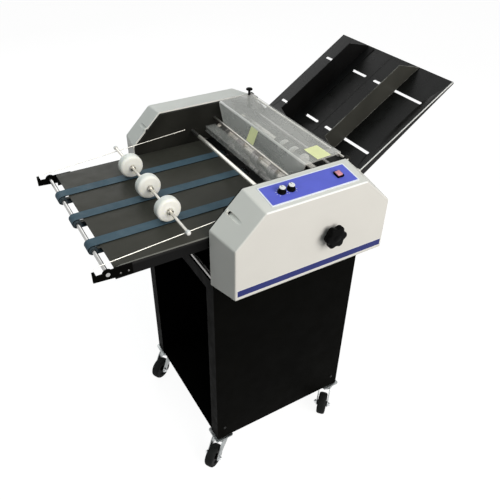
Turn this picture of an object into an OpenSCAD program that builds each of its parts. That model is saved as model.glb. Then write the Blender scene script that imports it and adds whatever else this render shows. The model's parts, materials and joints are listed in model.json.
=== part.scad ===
// Rotary paper creasing machine on a wheeled cabinet.
// X runs from the delivery end (-) to the feed end (+), the operator stands at -Y, and Z is up.
// The floor is at z = 0, and the cabinet's centre is the middle of the working frame.

/* [Casters] */
// Diameter of a caster wheel
caster_wheel_d = 75; // [68:1:80]
// Width of a caster wheel
caster_wheel_w = 28; // [20:1:32]
// Height from the floor to the underside of the cabinet
caster_h = 105; // [102:1:130]
// Distance of the axle behind the swivel pin
caster_trail = 46; // [34:1:54]
// Side of the square caster plate
caster_plate_w = 60; // [54:1:80]
// Thickness of the casters' pressed steel
caster_steel_t = 3; // [2:0.5:4]
// Distance of a swivel pin from the cabinet's sides
caster_inset = 22; // [16:1:40]
// Directions in which the wheels trail: near front, near rear, far front, far rear
caster_heading = [211, 223, 208, 212]; // [0:1:359]

/* [Cabinet] */
// Length of the cabinet along X
cab_len = 460; // [440:1:500]
// Height of the cabinet
cab_h = 640; // [500:1:700]
// Thickness of the cabinet's sheet steel
sheet_t = 2; // [1.5:0.5:3]
// Width of the folded strips beside the open front
front_return_w = 40; // [25:1:60]
// Width of the folded strips at the back
rear_return_w = 20; // [15:1:40]
// Height of the shelf's upturned edges
shelf_lip_h = 60; // [50:1:90]
// Height of the top plate's folded edges
top_lip_h = 38; // [32:1:60]
// Distance that the cover rims stand outside the cabinet's sides
cab_step = 4; // [2:1:8]

/* [End covers] */
// Distance between the rims of the two covers
head_w = 468; // [440:1:500]
// Depth of a cover, from its rim to its outer face
cover_depth = 95; // [85:1:110]
// Height of a cover at its rim
cover_h = 248; // [235:1:270]
// Gap between the cabinet's top and the covers' lower edges
cover_gap = 5; // [3:1:15]
// Distance that the covers stand out in front of the cabinet
cover_front_over = 8; // [0:1:20]
// Distance that the covers stay short of the cabinet's back
cover_rear_short = 2; // [0:1:10]
// Length and height of the covers' front chamfer
front_chamfer = [86, 85]; // [60:1:100]
// Length and height of the covers' rear chamfer
rear_chamfer = [88, 82]; // [60:1:100]
// Inward slope of the covers' sides over their depth
cover_draft = 14; // [8:1:20]
// Wall of the covers
cover_wall = 4; // [3:0.5:6]
// Rounding of the covers' outer edges
cover_edge_r = 4; // [3:1:12]

/* [Side frames] */
// Thickness of the side frames
frame_t = 8; // [6:1:10]
// Distance of the frames' edges inside the cover rims
frame_inset = 4; // [2:1:8]
// Width of the frames' feet
foot_w = 30; // [20:1:40]
// Thickness of the frames' feet
foot_t = 4; // [3:1:8]

/* [Crease station] */
// Height of the paper path over the cabinet's top
path_rise = 147; // [140:1:155]
// Distance of the crease shafts behind the cabinet's centre
crease_x = 37; // [25:1:45]
// Number of teeth on each crease gear
gear_teeth = 21; // [20:1:23]
// Module of the crease gears
gear_module = 2; // [1.9:0.05:2.1]
// Width of the crease gears
gear_w = 14; // [8:1:15]
// Radius of the crease shafts' journals
journal_r = 10; // [8:0.5:11]
// Radius of the crease shafts between the frames
crease_core_r = 14; // [12:0.5:15]
// Gap between the upper and lower collars
nip_gap = 0.8; // [0.6:0.1:1.5]
// Number of collars on each crease shaft
collar_count = 5; // [3:1:5]
// Distance between neighbouring collars
collar_pitch = 85; // [60:1:90]
// Width of a collar
collar_w = 34; // [20:1:44]
// Width of the crease blade's edge
blade_w = 1.2; // [0.8:0.1:2]
// Distance that the crease blade reaches past its collar
blade_reach = 1; // [0.6:0.1:1.5]

/* [Feeder] */
// Distance from the crease shafts to the feed shaft
feed_reach = 82; // [78:1:90]
// Height of the feed shaft over the paper path
feed_rise = 38; // [36:1:45]
// Diameter of a feed wheel
feed_wheel_d = 54; // [44:1:56]
// Width of a feed wheel
feed_wheel_w = 22; // [12:1:30]
// Distance between neighbouring feed wheels
feed_wheel_pitch = 47; // [40:1:60]
// Offset of the feed wheels towards the operator
feed_wheel_shift = 31; // [0:1:40]
// Radius of the feed shaft between the frames
feed_core_r = 9; // [7:0.5:10]
// Radius of the feed shaft's and the delivery drive shaft's journals
thin_shaft_r = 6; // [5:0.5:7]

/* [Delivery] */
// Distance from the crease shafts to the delivery drive roller
drive_reach = 52; // [50:1:60]
// Distance between the delivery's front shaft and drive roller
belt_run = 463; // [400:1:500]
// Diameter of the belt pulleys
belt_pulley_d = 20; // [16:1:28]
// Width of a delivery belt
belt_w = 30; // [20:1:40]
// Thickness of a delivery belt
belt_t = 2; // [1.5:0.5:3]
// Distance between neighbouring delivery belts
belt_pitch = 119; // [90:1:130]
// Radius of the front shaft
front_shaft_r = 5; // [4:0.5:6]
// Height of the exit guide's front lip
exit_lip_h = 15; // [10:1:20]
// Gap between the front shaft's centre and the table's front edge
table_front_gap = 16; // [14:1:20]
// Height of the table's folded sides
table_flange_h = 33; // [28:1:40]
// Thickness of the roller brackets
bracket_t = 4; // [3:0.5:6]
// Distance from the front shaft to the bracket's hooked tip
bracket_reach = 33; // [28:1:45]

/* [Weight roller] */
// Diameter of a weight wheel
weight_wheel_d = 62; // [50:1:70]
// Width of a weight wheel
weight_wheel_w = 27; // [18:1:32]
// Radius of the weight rod
weight_rod_r = 4; // [3:0.5:5]
// Distance that the weight rod's ends reach past the cover rims
weight_rod_over = 3; // [1:0.5:10]
// Distance of the weight rod in front of the cabinet's centre
weight_x = 288; // [265:1:400]
// Diameter of a guide wire
wire_d = 2; // [1.5:0.5:4]
// Rise of the guide wires towards the machine, in degrees
wire_slope = 4.6; // [2:0.1:6]

/* [Safety guard] */
// Thickness of the clear guard
guard_t = 4; // [3:0.5:5]
// Height of the guard's bend over the paper path
guard_rise = 107; // [102:1:115]
// Length of the guard's top, along X
guard_top_len = 106; // [100:1:110]
// Rise of the guard's top towards the feed end
guard_top_rise = 6; // [3:1:8]
// Height of the guard's sloping front
guard_front_h = 43; // [36:1:46]
// Distance that the guard's front reaches forward at its foot
guard_front_lean = 18; // [10:1:22]
// Distance that the front's far side slants in at its foot
guard_far_slant = 56; // [20:1:80]
// Rounding of the guard's near lower corner
guard_corner_r = 15; // [8:1:20]
// Gap between the guard and the near frame
guard_near_gap = 15; // [5:1:25]

/* [Feed tray] */
// Length of the tray down its slope
tray_len = 400; // [370:1:450]
// Slope of the tray in degrees
tray_tilt = 33.6; // [32:0.2:36]
// Distances of the slot rows from the tray's top edge
slot_rows = [92, 280]; // [60:1:300]
// Distance of the slots' inner ends from the tray's middle
slot_from = 16; // [12:1:30]
// Distance of the slots' outer ends from the tray's middle
slot_to = 204; // [190:1:212]
// Width of the slots
slot_w = 8; // [7:0.5:10]
// Height of a sheet guide
guide_h = 57; // [40:1:60]
// Length of a sheet guide
guide_len = 325; // [300:1:330]
// Half the distance between the sheet guides' walls
guide_half = 103; // [80:1:130]
// Width of a sheet guide's foot
guide_foot_w = 28; // [20:1:34]

/* [Controls] */
// Length of the control panel
panel_len = 234; // [200:1:260]
// Width of the control panel
panel_w = 61; // [54:1:66]
// Thickness of the control panel
panel_t = 1.2; // [0.8:0.1:2]
// Places of the two speed knobs along X
speed_knob_x = [-78, -53]; // [-110:1:110]
// Diameter of a speed knob
speed_knob_d = 21; // [16:1:24]
// Height of a speed knob
speed_knob_h = 15; // [12:1:20]
// Place of the switch along X
switch_x = 81; // [60:1:95]
// Length of the switch bezel
switch_len = 30; // [26:1:36]
// Width of the switch bezel
switch_w = 24; // [20:1:30]
// Diameter of the star shaped hand knob
hand_knob_d = 58; // [48:1:70]
// Thickness of the hand knob's star
hand_knob_t = 18; // [12:1:24]

/* [Clearances] */
// Radial clearance of a running shaft
run_clear = 0.05; // [0.02:0.01:0.09]
// Gap between surfaces that pass each other
pass_clear = 0.3; // [0.3:0.05:0.6]
// Room around a shaft that passes through a cover or a flange
shaft_room = 1.5; // [1:0.5:3]

/* [Hidden] */
$fn = 64;
HULL_FN = 32;

// Heights over the floor
head_z = caster_h + cab_h;
cover_z = head_z + cover_gap;
path_z = head_z + path_rise;

// Cabinet and head widths
cab_w = head_w - 2 * cab_step;
inner_half = head_w / 2 - frame_t;
outer_half = head_w / 2 + cover_depth;

// Crease shafts, feed shaft and delivery rollers, as [x, z]
crease_pitch = gear_teeth * gear_module;
upper_axis = [crease_x, path_z + crease_pitch / 2];
lower_axis = [crease_x, path_z - crease_pitch / 2];
feed_axis = [crease_x + feed_reach, path_z + feed_rise];
pulley_r = belt_pulley_d / 2;
loop_r = pulley_r + pass_clear;
drive_axis = [crease_x - drive_reach, path_z - belt_t - loop_r];
front_axis = [drive_axis.x - belt_run, drive_axis.y];
belt_places = [for (i = [-1:1]) i * belt_pitch];
collar_r = (crease_pitch - nip_gap) / 2;
collar_places = [for (i = [0:collar_count - 1]) (i - (collar_count - 1) / 2) * collar_pitch];

// Layers of the drive inside the near cover, as distances outside the cover's rim plane
gear_from = 6;
roller_belt_from = gear_from + gear_w + 5;
drive_belt_w = 12;
drive_belt_t = 2;
pulley_w = drive_belt_w + 2;
feed_belt_from = roller_belt_from + pulley_w + 4;
big_pulley_r = 18;
drive_end = feed_belt_from + pulley_w + 2;

// Delivery table
table_z = path_z - belt_t - pass_clear;
table_front_x = front_axis.x + table_front_gap;
table_rear_x = crease_x - 25;
table_flange_bottom = table_z - table_flange_h;

// Weight roller and guide wires
rod_axis = [-weight_x, path_z + pass_clear + weight_wheel_d / 2];
wire_r = wire_d / 2;
wire_y = inner_half - 4;
wire_reach = 118;
wire_over = 29;
wire_rear_x = crease_x - wire_reach;
wire_front_x = front_axis.x - wire_over;
wire_drop = (weight_rod_r + wire_r + pass_clear) / cos(wire_slope);
function wire_z(x) = rod_axis.y - wire_drop + (x - rod_axis.x) * tan(wire_slope);
collar_gap_w = 9;

// Cross bars between the frames, as [x, z]
bar_r = 5;
crossbar_r = 4.75;
crossbar_axis = [drive_axis.x - 40, path_z + 33];
separator_axis = [feed_axis.x + 39, path_z + 48];
tie_axes = [[-cab_len / 2 + 4, head_z + 13], [cab_len / 2 - 30, head_z + 30], [crease_x + 20, head_z + 45]];

// Exit guide: its top's height over the paper path and its front's distance from the crease shafts
exit_rise = 38;
exit_reach = 50;

// Feed tray
tray_t = 2;
tray_x = feed_axis.x + 22;
tray_z = path_z + 14;
tray_flange_low = 24;
tray_flange_top = 6;
tray_screw_spots = [12, 45];
tray_screw_drop = 10;
guide_t = 2;
guide_slant = 53;
stud_r = 3;
nut_r = 9;
nut_t = 6;
stud_y = guide_half - guide_foot_w / 2;

// Guard outline, as [x, z]
guard_bend = [crease_x - 2, path_z + guard_rise];
guard_rear = guard_bend + [guard_top_len, guard_top_rise];
guard_foot = guard_bend - [guard_front_lean, guard_front_h];
guard_fall = (guard_foot - guard_bend) / norm(guard_foot - guard_bend);
guard_span = [-inner_half + guard_near_gap, inner_half - 2];
hinge_axis = [guard_rear.x + 5, guard_rear.y - 12];
guard_rod_r = 3;
stop_rod_axis = guard_foot + [-guard_fall.y, guard_fall.x] * guard_t / 2
    + guard_fall * (guard_rod_r + pass_clear);
hinge_ear_r = 9;
hinge_arm_w = 14;
hinge_arm_len = 65;
clip_r = 7;
clip_w = 22;
clip_reach = 38;
clip_t = 3;
clip_places = [guard_span[0] + 24, guard_span[1] - clip_w / 2];
thumb_x = hinge_axis.x - 17;
thumb_r = 3;

// Hand knob on the lower shaft
hand_knob_gap = 3;
hand_knob_hub = 8;
hand_knob_y = -outer_half - hand_knob_gap;
hand_knob_lobes = 6;

// Screws: one kind holds panels, covers, brackets and tray
screw_r = 2.5;
screw_len = 10;
screw_head_r = 4.5;
screw_head_h = 2.6;
panel_screw_x = cab_len / 2 - 25;
panel_screw_z = [caster_h + shelf_lip_h - 15, head_z - 25];
bracket_screw_x = [front_axis.x + 28, front_axis.x + 46];
bracket_screw_z = drive_axis.y - 7;
cover_screw_inset = 6.5;
cover_screw_depth = 5;
cover_scoop_r = screw_head_r + 0.5;

// The outside's corners give the row its origin, on the floor under the box's middle
x_low = front_axis.x - bracket_reach;
x_high = tray_x + tray_len * cos(tray_tilt) + tray_flange_top * sin(tray_tilt);
y_low = hand_knob_y - hand_knob_hub - hand_knob_t;
y_high = outer_half;
origin_shift = [-(x_low + x_high) / 2, -(y_low + y_high) / 2, 0];

// Outlines

// Where the line through p along r meets the line through q along s
function line_meet(p, r, q, s) = p + r * cross(q - p, s) / cross(r, s);

// Inward normal of an edge of an outline that runs counter-clockwise
function inward(a, b) = [a.y - b.y, b.x - a.x] / norm(b - a);

// An outline with each edge moved inwards by d
function inset(pts, d) = [for (i = [0:len(pts) - 1])
    let (n = len(pts), a = pts[(i + n - 1) % n], b = pts[i], c = pts[(i + 1) % n])
    line_meet(a + inward(a, b) * d, b - a, b + inward(b, c) * d, c - b)];

// Rim outline of a cover seen from the operator's side, from the lower front corner
function head_outline(bottom) = let (
    front = -cab_len / 2 - cover_front_over,
    rear = cab_len / 2 - cover_rear_short,
    top = cover_z + cover_h) [
    [front, bottom],
    [rear, bottom],
    [rear, top - rear_chamfer[1]],
    [rear - rear_chamfer[0], top],
    [front + front_chamfer[0], top],
    [front, top - front_chamfer[1]]];

cover_rim = head_outline(cover_z);
frame_outline = inset(head_outline(head_z - frame_inset), frame_inset);

// A cover's straight rim, and the gap under what is fastened on its sides
rim_t = 0.5;
seat_gap = 0.05;

// Slope of a cover's sides, from the rim to the rounded outer edge
edge_centre = [cover_draft + cover_edge_r, cover_depth - rim_t - cover_edge_r];
cover_slope = atan2(edge_centre[0], edge_centre[1]) - asin(cover_edge_r / norm(edge_centre));

// Involute gear outline with a tooth pointing along +X
gear_backlash = 0.35;
pressure_angle = 20;
gear_pitch_r = crease_pitch / 2;
gear_base_r = gear_pitch_r * cos(pressure_angle);
gear_tip_r = gear_pitch_r + gear_module;
gear_root_r = gear_pitch_r - 1.25 * gear_module;
flank_steps = 6;
function involute(a) = tan(a) * 180 / PI - a;
function half_tooth(r) = 90 / gear_teeth - gear_backlash * 90 / PI / gear_pitch_r
    + involute(pressure_angle) - involute(r > gear_base_r ? acos(gear_base_r / r) : 0);
function gear_outline() = [for (t = [0:gear_teeth - 1], side = [-1, 1], k = [0:flank_steps])
    let (step = side < 0 ? k : flank_steps - k,
        r = gear_root_r + (gear_tip_r - gear_root_r) * step / flank_steps,
        a = t * 360 / gear_teeth + side * half_tooth(r))
    r * [cos(a), sin(a)]];

// Places and directions

// Moves children from the working frame to the row's frame
module placed() {
    translate(origin_shift) children();
}

// Makes the mirror image on the far side
module far_side() {
    mirror([0, 1, 0]) children();
}

// Makes children on both sides
module both_sides() {
    children();
    far_side() children();
}

// Stands a flat outline in the XZ plane, with its thickness from y towards -Y
module upright(y, t) {
    translate([0, y, 0]) rotate([90, 0, 0]) linear_extrude(t) children();
}

// Rod along Y between two y values
module rod_y(axis, r, from, to) {
    translate([axis.x, from, axis.y]) rotate([-90, 0, 0]) cylinder(r = r, h = to - from);
}

// Square slab between two corners
module slab(low, high) {
    translate(low) cube(high - low);
}

// A frame on one of a near cover's sloping sides: x along the rim's edge, y outwards, z off the side
module on_cover(edge, along, out) {
    a = cover_rim[edge];
    b = cover_rim[(edge + 1) % len(cover_rim)];
    u = (b - a) / norm(b - a);
    o = -inward(a, b);
    s = sin(cover_slope);
    c = cos(cover_slope);
    p = a + u * along;
    translate([0, -head_w / 2 - rim_t, 0])
        rotate([90, 0, 0])
            multmatrix([
                [u.x, -o.x * s, o.x * c, p.x],
                [u.y, -o.y * s, o.y * c, p.y],
                [0, c, s, 0],
                [0, 0, 0, 1]])
                translate([0, out, seat_gap]) children();
}

// The control panel's middle, on the near cover's top
panel_out = (cover_depth / 2 - rim_t) / cos(cover_slope);
panel_along = norm(cover_rim[4] - cover_rim[3]) / 2 - 5;
panel_x = cover_rim[3].x - panel_along;

module on_panel(x) {
    on_cover(3, panel_along - (x - panel_x), panel_out) children();
}

// Fasteners

// A pan head screw whose head stands on z = 0
module screw() {
    cylinder(r = screw_head_r, h = screw_head_h);
    translate([0, 0, -screw_len]) cylinder(r = screw_r, h = screw_len + 1);
}

// The hole of a screw that enters at z = 0
module screw_hole() {
    translate([0, 0, -screw_len]) cylinder(r = screw_r, h = screw_len + 1);
}

// Screws of one cabinet side
module at_panel_screws() {
    for (x = [-panel_screw_x, panel_screw_x], z = panel_screw_z)
        translate([x, -cab_w / 2, z]) rotate([90, 0, 0]) children();
}

// Screws of one roller bracket
module at_bracket_screws() {
    for (x = bracket_screw_x)
        translate([x, -inner_half - bracket_t, bracket_screw_z]) rotate([90, 0, 0]) children();
}

// Places of a cover's screws, in the middle of its chamfers
cover_screw_axes = [for (edge = [2, 4])
    (cover_rim[edge] + cover_rim[edge + 1]) / 2
        + inward(cover_rim[edge], cover_rim[edge + 1]) * cover_screw_inset];

// Screws of one cover, driven towards the frame
module at_cover_screws() {
    for (a = cover_screw_axes)
        translate([a.x, -head_w / 2 - cover_screw_depth, a.y]) rotate([90, 0, 0]) children();
}

// Screws of one side of the tray, from inside
module at_tray_screws() {
    tray_frame()
        for (x = tray_screw_spots)
            translate([x, -inner_half + tray_t, -tray_screw_drop]) rotate([-90, 0, 0]) children();
}

module screws() {
    color("silver")
        both_sides() {
            at_panel_screws() screw();
            at_bracket_screws() screw();
            at_cover_screws() screw();
            at_tray_screws() screw();
        }
}

// Casters

caster_wheel_r = caster_wheel_d / 2;
race_r = 22;
race_t = 8;
swivel_gap = 0.5;
swivel_pin_r = 5;
swivel_head_r = 8;
swivel_head_t = 4;
plate_z = caster_h - caster_steel_t;
crown_z = plate_z - race_t - swivel_gap;
fork_gap = caster_wheel_w / 2 + 3;
axle_r = 4;
axle_head_r = 7;
axle_head_t = 6;

// Swivel pin of caster i, counted near front, near rear, far front, far rear
function caster_pin(i) = [
    (i % 2 == 0 ? -1 : 1) * (cab_len / 2 - caster_inset),
    (i < 2 ? -1 : 1) * (cab_w / 2 - caster_inset)];

// A caster's frame, with +X pointing the way its wheel trails
module at_caster(i) {
    translate(caster_pin(i)) rotate(caster_heading[i]) children();
}

module caster_plates() {
    pin_end = crown_z - caster_steel_t - swivel_gap - swivel_head_t;
    color("silver")
        for (i = [0:3])
            translate(caster_pin(i)) {
                translate([-caster_plate_w / 2, -caster_plate_w / 2, plate_z])
                    cube([caster_plate_w, caster_plate_w, caster_steel_t]);
                translate([0, 0, plate_z - race_t]) cylinder(r = race_r, h = race_t);
                translate([0, 0, pin_end]) cylinder(r = swivel_pin_r, h = plate_z - pin_end);
                translate([0, 0, pin_end]) cylinder(r = swivel_head_r, h = swivel_head_t);
            }
}

// One cheek of a fork, from the crown down to the axle
module fork_cheek() {
    polygon([
        [-16, crown_z],
        [18, crown_z],
        [caster_trail + 9, caster_wheel_r + 6],
        [caster_trail - 7, caster_wheel_r - 8],
        [-16, crown_z - 14]]);
    translate([caster_trail, caster_wheel_r]) circle(r = 11);
}

module caster_fork(i) {
    cheek = fork_gap + caster_steel_t;
    color("lightgray")
        at_caster(i) {
            difference() {
                union() {
                    translate([0, 0, crown_z - caster_steel_t])
                        cylinder(r = race_r + 2, h = caster_steel_t);
                    for (y = [-fork_gap, cheek])
                        upright(y, caster_steel_t) fork_cheek();
                }
                translate([0, 0, crown_z - caster_steel_t - 1])
                    cylinder(r = swivel_pin_r + run_clear, h = caster_steel_t + 2);
            }
            rod_y([caster_trail, caster_wheel_r], axle_r, -cheek, cheek);
            for (y = [-cheek - axle_head_t, cheek])
                rod_y([caster_trail, caster_wheel_r], axle_head_r, y, y + axle_head_t);
        }
}

module caster_wheel(i) {
    half = caster_wheel_w / 2;
    crown = 3;
    recess = 3;
    color("dimgray")
        at_caster(i)
            translate([caster_trail, 0, caster_wheel_r])
                rotate([90, 0, 0])
                    difference() {
                        union() {
                            rotate_extrude()
                                polygon([
                                    [0, -half],
                                    [caster_wheel_r - 2 * crown, -half],
                                    [caster_wheel_r - crown / 2, -half + crown],
                                    [caster_wheel_r, -half + 3 * crown],
                                    [caster_wheel_r, half - 3 * crown],
                                    [caster_wheel_r - crown / 2, half - crown],
                                    [caster_wheel_r - 2 * crown, half],
                                    [0, half]]);
                            cylinder(r = axle_r + 5, h = 2 * (fork_gap - pass_clear), center = true);
                        }
                        for (side = [0, 1])
                            mirror([0, 0, side])
                                translate([0, 0, half - recess])
                                    difference() {
                                        cylinder(r = caster_wheel_r - 10, h = recess + 1);
                                        translate([0, 0, -1]) cylinder(r = axle_r + 5, h = recess + 3);
                                    }
                        cylinder(r = axle_r + run_clear, h = 2 * fork_gap, center = true);
                    }
}

module fork_near_front() {
    caster_fork(0);
}

module fork_near_rear() {
    caster_fork(1);
}

module fork_far_front() {
    caster_fork(2);
}

module fork_far_rear() {
    caster_fork(3);
}

module wheel_near_front() {
    caster_wheel(0);
}

module wheel_near_rear() {
    caster_wheel(1);
}

module wheel_far_front() {
    caster_wheel(2);
}

module wheel_far_rear() {
    caster_wheel(3);
}

// Cabinet

module side_panel() {
    top = head_z - sheet_t;
    front = -cab_len / 2;
    side = -cab_w / 2;
    color([0.08, 0.08, 0.08])
        difference() {
            union() {
                slab([front, side, caster_h], [cab_len / 2, side + sheet_t, top]);
                slab([front, side, caster_h], [front + sheet_t, side + front_return_w, top]);
                slab([cab_len / 2 - sheet_t, side, caster_h], [cab_len / 2, side + rear_return_w, top]);
            }
            at_panel_screws() screw_hole();
        }
}

module near_panel() {
    side_panel();
}

module far_panel() {
    far_side() side_panel();
}

// The base and the back, folded from one sheet
module base_and_back() {
    half = cab_w / 2 - sheet_t;
    front = -cab_len / 2 + sheet_t;
    back = cab_len / 2 - sheet_t;
    color([0.1, 0.1, 0.1])
        difference() {
            union() {
                slab([front, -half, caster_h], [back, half, caster_h + sheet_t]);
                slab([back - sheet_t, -half, caster_h], [back, half, head_z - sheet_t]);
                both_sides()
                    slab([front, -half, caster_h], [back, -half + sheet_t, caster_h + shelf_lip_h]);
            }
            both_sides() at_panel_screws() screw_hole();
        }
}

module top_plate() {
    half = cab_w / 2;
    lip_y = half - sheet_t;
    back = cab_len / 2 - 2 * sheet_t;
    front = -cab_len / 2;
    color([0.1, 0.1, 0.1])
        difference() {
            union() {
                slab([front, -half, head_z - sheet_t], [cab_len / 2, half, head_z]);
                slab([front, -half + front_return_w, head_z - top_lip_h],
                    [front + sheet_t, half - front_return_w, head_z]);
                both_sides()
                    slab([front + sheet_t, -lip_y, head_z - top_lip_h], [back, -lip_y + sheet_t, head_z]);
            }
            both_sides() at_panel_screws() screw_hole();
        }
}

// Side frames

// Holes of the bearings, as [axis, outer radius, shaft radius]
bearings = [
    [upper_axis, 16, journal_r],
    [lower_axis, 16, journal_r],
    [drive_axis, 13, thin_shaft_r],
    [feed_axis, 13, thin_shaft_r]];

// Holes of the fixed bars, as [axis, radius]
bars = concat(
    [for (a = tie_axes) [a, bar_r]],
    [[crossbar_axis, crossbar_r], [stop_rod_axis, guard_rod_r], [separator_axis, bar_r]],
    [[hinge_axis, guard_rod_r], [[wire_rear_x, wire_z(wire_rear_x)], wire_r]]);

// The ear that holds the guard's hinge rod, on an arm that runs down into the frame
module hinge_ear() {
    translate(hinge_axis) {
        circle(r = hinge_ear_r);
        rotate(-135) translate([0, -hinge_arm_w / 2]) square([hinge_arm_len, hinge_arm_w]);
    }
}

module side_frame() {
    foot_x = cab_len / 2 - 40;
    color([0.12, 0.12, 0.12])
        difference() {
            union() {
                upright(-inner_half, frame_t) {
                    polygon(frame_outline);
                    hinge_ear();
                    for (a = cover_screw_axes)
                        translate(a) circle(r = cover_screw_inset - 0.5);
                }
                slab([-foot_x, -inner_half - 1, head_z], [foot_x, -inner_half + foot_w, head_z + foot_t]);
            }
            for (b = bearings)
                rod_y(b[0], b[1], -head_w, 0);
            for (b = bars)
                rod_y(b[0], b[1], -head_w, 0);
            at_cover_screws() screw_hole();
            at_tray_screws() screw_hole();
        }
}

module near_side_frame() {
    side_frame();
}

module far_side_frame() {
    far_side() side_frame();
}

module shaft_bearings() {
    color("gray")
        both_sides()
            for (b = bearings)
                difference() {
                    rod_y(b[0], b[1], -head_w / 2, -inner_half);
                    rod_y(b[0], b[2] + run_clear, -head_w, 0);
                }
}

module tie_rods() {
    color("gray")
        for (a = tie_axes)
            rod_y(a, bar_r, -head_w / 2, head_w / 2);
}

module crossbar() {
    color("ivory") rod_y(crossbar_axis, crossbar_r, -head_w / 2, head_w / 2);
}

// Clear angle strip over the outlet, just in front of the upper collars
module exit_guide() {
    top = path_z + exit_rise;
    front = crease_x - exit_reach;
    rear = crease_x - sqrt(pow(collar_r + blade_reach + 1, 2) - pow(top - sheet_t - upper_axis.y, 2));
    color([0.75, 0.78, 0.76, 0.5])
        upright(inner_half, 2 * inner_half)
            polygon([
                [front, top - exit_lip_h],
                [front + sheet_t, top - exit_lip_h],
                [front + sheet_t, top - sheet_t],
                [rear, top - sheet_t],
                [rear, top],
                [front, top]]);
}

// The rod that the guard turns on and the rod that it rests on
module guard_rods() {
    color("silver")
        for (a = [hinge_axis, stop_rod_axis])
            rod_y(a, guard_rod_r, -head_w / 2, head_w / 2);
}

module separator() {
    block = [12, 40];
    foot = tray_z + (separator_axis.x + block.x / 2 - tray_x) * tan(tray_tilt) + 4;
    color("dimgray") {
        rod_y(separator_axis, bar_r, -head_w / 2, head_w / 2);
        translate([separator_axis.x - block.x / 2, -feed_wheel_shift - block.y / 2, foot])
            cube([block.x, block.y, separator_axis.y - foot]);
    }
}

// Covers

// The drafted block of a cover, with rounded outer edges
module cover_block() {
    outer = inset(cover_rim, cover_draft + cover_edge_r);
    hull() {
        upright(-head_w / 2, rim_t) polygon(cover_rim);
        for (p = outer)
            translate([p.x, -outer_half + cover_edge_r, p.y]) sphere(r = cover_edge_r, $fn = HULL_FN);
    }
}

// The hollow inside of a cover, open at its rim
module cover_hollow() {
    hull() {
        upright(-head_w / 2 + 1, 1) polygon(inset(cover_rim, cover_wall));
        upright(-outer_half + cover_wall + 0.5, 0.5) polygon(inset(cover_rim, cover_draft + cover_wall));
    }
}

// A cover with its scooped screw recesses, which run out along its chamfers
module cover_shell() {
    difference() {
        cover_block();
        difference() {
            cover_hollow();
            for (a = cover_screw_axes)
                rod_y(a, cover_scoop_r + cover_wall, -outer_half, -head_w / 2);
        }
        for (a = cover_screw_axes)
            rod_y(a, cover_scoop_r, -outer_half - 1, -head_w / 2 - cover_screw_depth);
        at_cover_screws() screw_hole();
    }
}

module near_cover() {
    color([0.86, 0.85, 0.82])
        difference() {
            cover_shell();
            rod_y(lower_axis, journal_r + shaft_room, -outer_half - 1, -outer_half + 2 * cover_wall);
            for (x = speed_knob_x)
                on_panel(x) cylinder(r = knob_stem_r + 0.5, h = 4 * cover_wall, center = true);
            on_panel(switch_x) cube([switch_body.x, switch_body.y, 4 * cover_wall], center = true);
        }
}

inlet_along = 55;
inlet_plate = [50, 30, 3];
inlet_body = [44, 24, 26];

// The power inlet's middle, on the far cover's back
module at_inlet() {
    far_side() on_cover(1, inlet_along, cover_depth / 2) children();
}

module far_cover() {
    color([0.86, 0.85, 0.82])
        difference() {
            far_side() cover_shell();
            at_inlet() cube([inlet_body.y, inlet_body.x, 4 * cover_wall], center = true);
        }
}

module power_inlet() {
    pin = [2, 6, 12];
    color([0.1, 0.1, 0.1])
        at_inlet()
            difference() {
                union() {
                    translate([0, 0, inlet_plate.z / 2])
                        cube([inlet_plate.y, inlet_plate.x, inlet_plate.z], center = true);
                    translate([0, 0, -inlet_body.z / 2 + 1])
                        cube([inlet_body.y, inlet_body.x, inlet_body.z], center = true);
                }
                difference() {
                    translate([0, 0, -5]) cube([16, 26, 20], center = true);
                    for (y = [-7, 0, 7])
                        translate([y == 0 ? 3 : -3, y, -10]) cube(pin, center = true);
                }
            }
}

// Crease shafts, gears and motor

core_half = inner_half - 14;
motor_end = 82;
shaft_end = motor_end - 14;

module lower_shaft() {
    color("silver") {
        rod_y(lower_axis, crease_core_r, -core_half, core_half);
        rod_y(lower_axis, journal_r, hand_knob_y - hand_knob_hub - hand_knob_t / 2, head_w / 2 + shaft_end);
    }
}

module upper_shaft() {
    color("silver") {
        rod_y(upper_axis, crease_core_r, -core_half, core_half);
        rod_y(upper_axis, journal_r, -head_w / 2 - drive_end, head_w / 2 + 2);
    }
}

module crease_blades() {
    color("silver")
        for (y = collar_places)
            difference() {
                union() {
                    rod_y(upper_axis, collar_r, y - collar_w / 2, y + collar_w / 2);
                    rod_y(upper_axis, collar_r + blade_reach, y - blade_w / 2, y + blade_w / 2);
                }
                rod_y(upper_axis, crease_core_r, -head_w, head_w);
            }
}

module crease_dies() {
    groove_w = blade_w + 2;
    groove_r = collar_r - blade_reach - 1;
    color("gray")
        for (y = collar_places)
            difference() {
                rod_y(lower_axis, collar_r, y - collar_w / 2, y + collar_w / 2);
                difference() {
                    rod_y(lower_axis, collar_r + 1, y - groove_w / 2, y + groove_w / 2);
                    rod_y(lower_axis, groove_r, -head_w, head_w);
                }
                rod_y(lower_axis, crease_core_r, -head_w, head_w);
            }
}

// A pulley outside the near frame, from the given distance off the rim plane
module belt_pulley(axis, r, from) {
    rod_y(axis, r, -head_w / 2 - from - pulley_w, -head_w / 2 - from);
}

// A gear outside the near frame, turned so that a tooth or a gap points at its mate
module crease_gear(axis, turn) {
    translate([axis.x, -head_w / 2 - gear_from, axis.y])
        rotate([90, 0, 0])
            linear_extrude(gear_w) rotate(turn) polygon(gear_outline());
}

module lower_gear() {
    hub_r = journal_r + 4;
    color("dimgray")
        difference() {
            union() {
                crease_gear(lower_axis, 90);
                rod_y(lower_axis, hub_r, -head_w / 2 - roller_belt_from, -head_w / 2 - gear_from - gear_w);
                belt_pulley(lower_axis, big_pulley_r, roller_belt_from);
            }
            rod_y(lower_axis, journal_r, -head_w, 0);
        }
}

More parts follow.
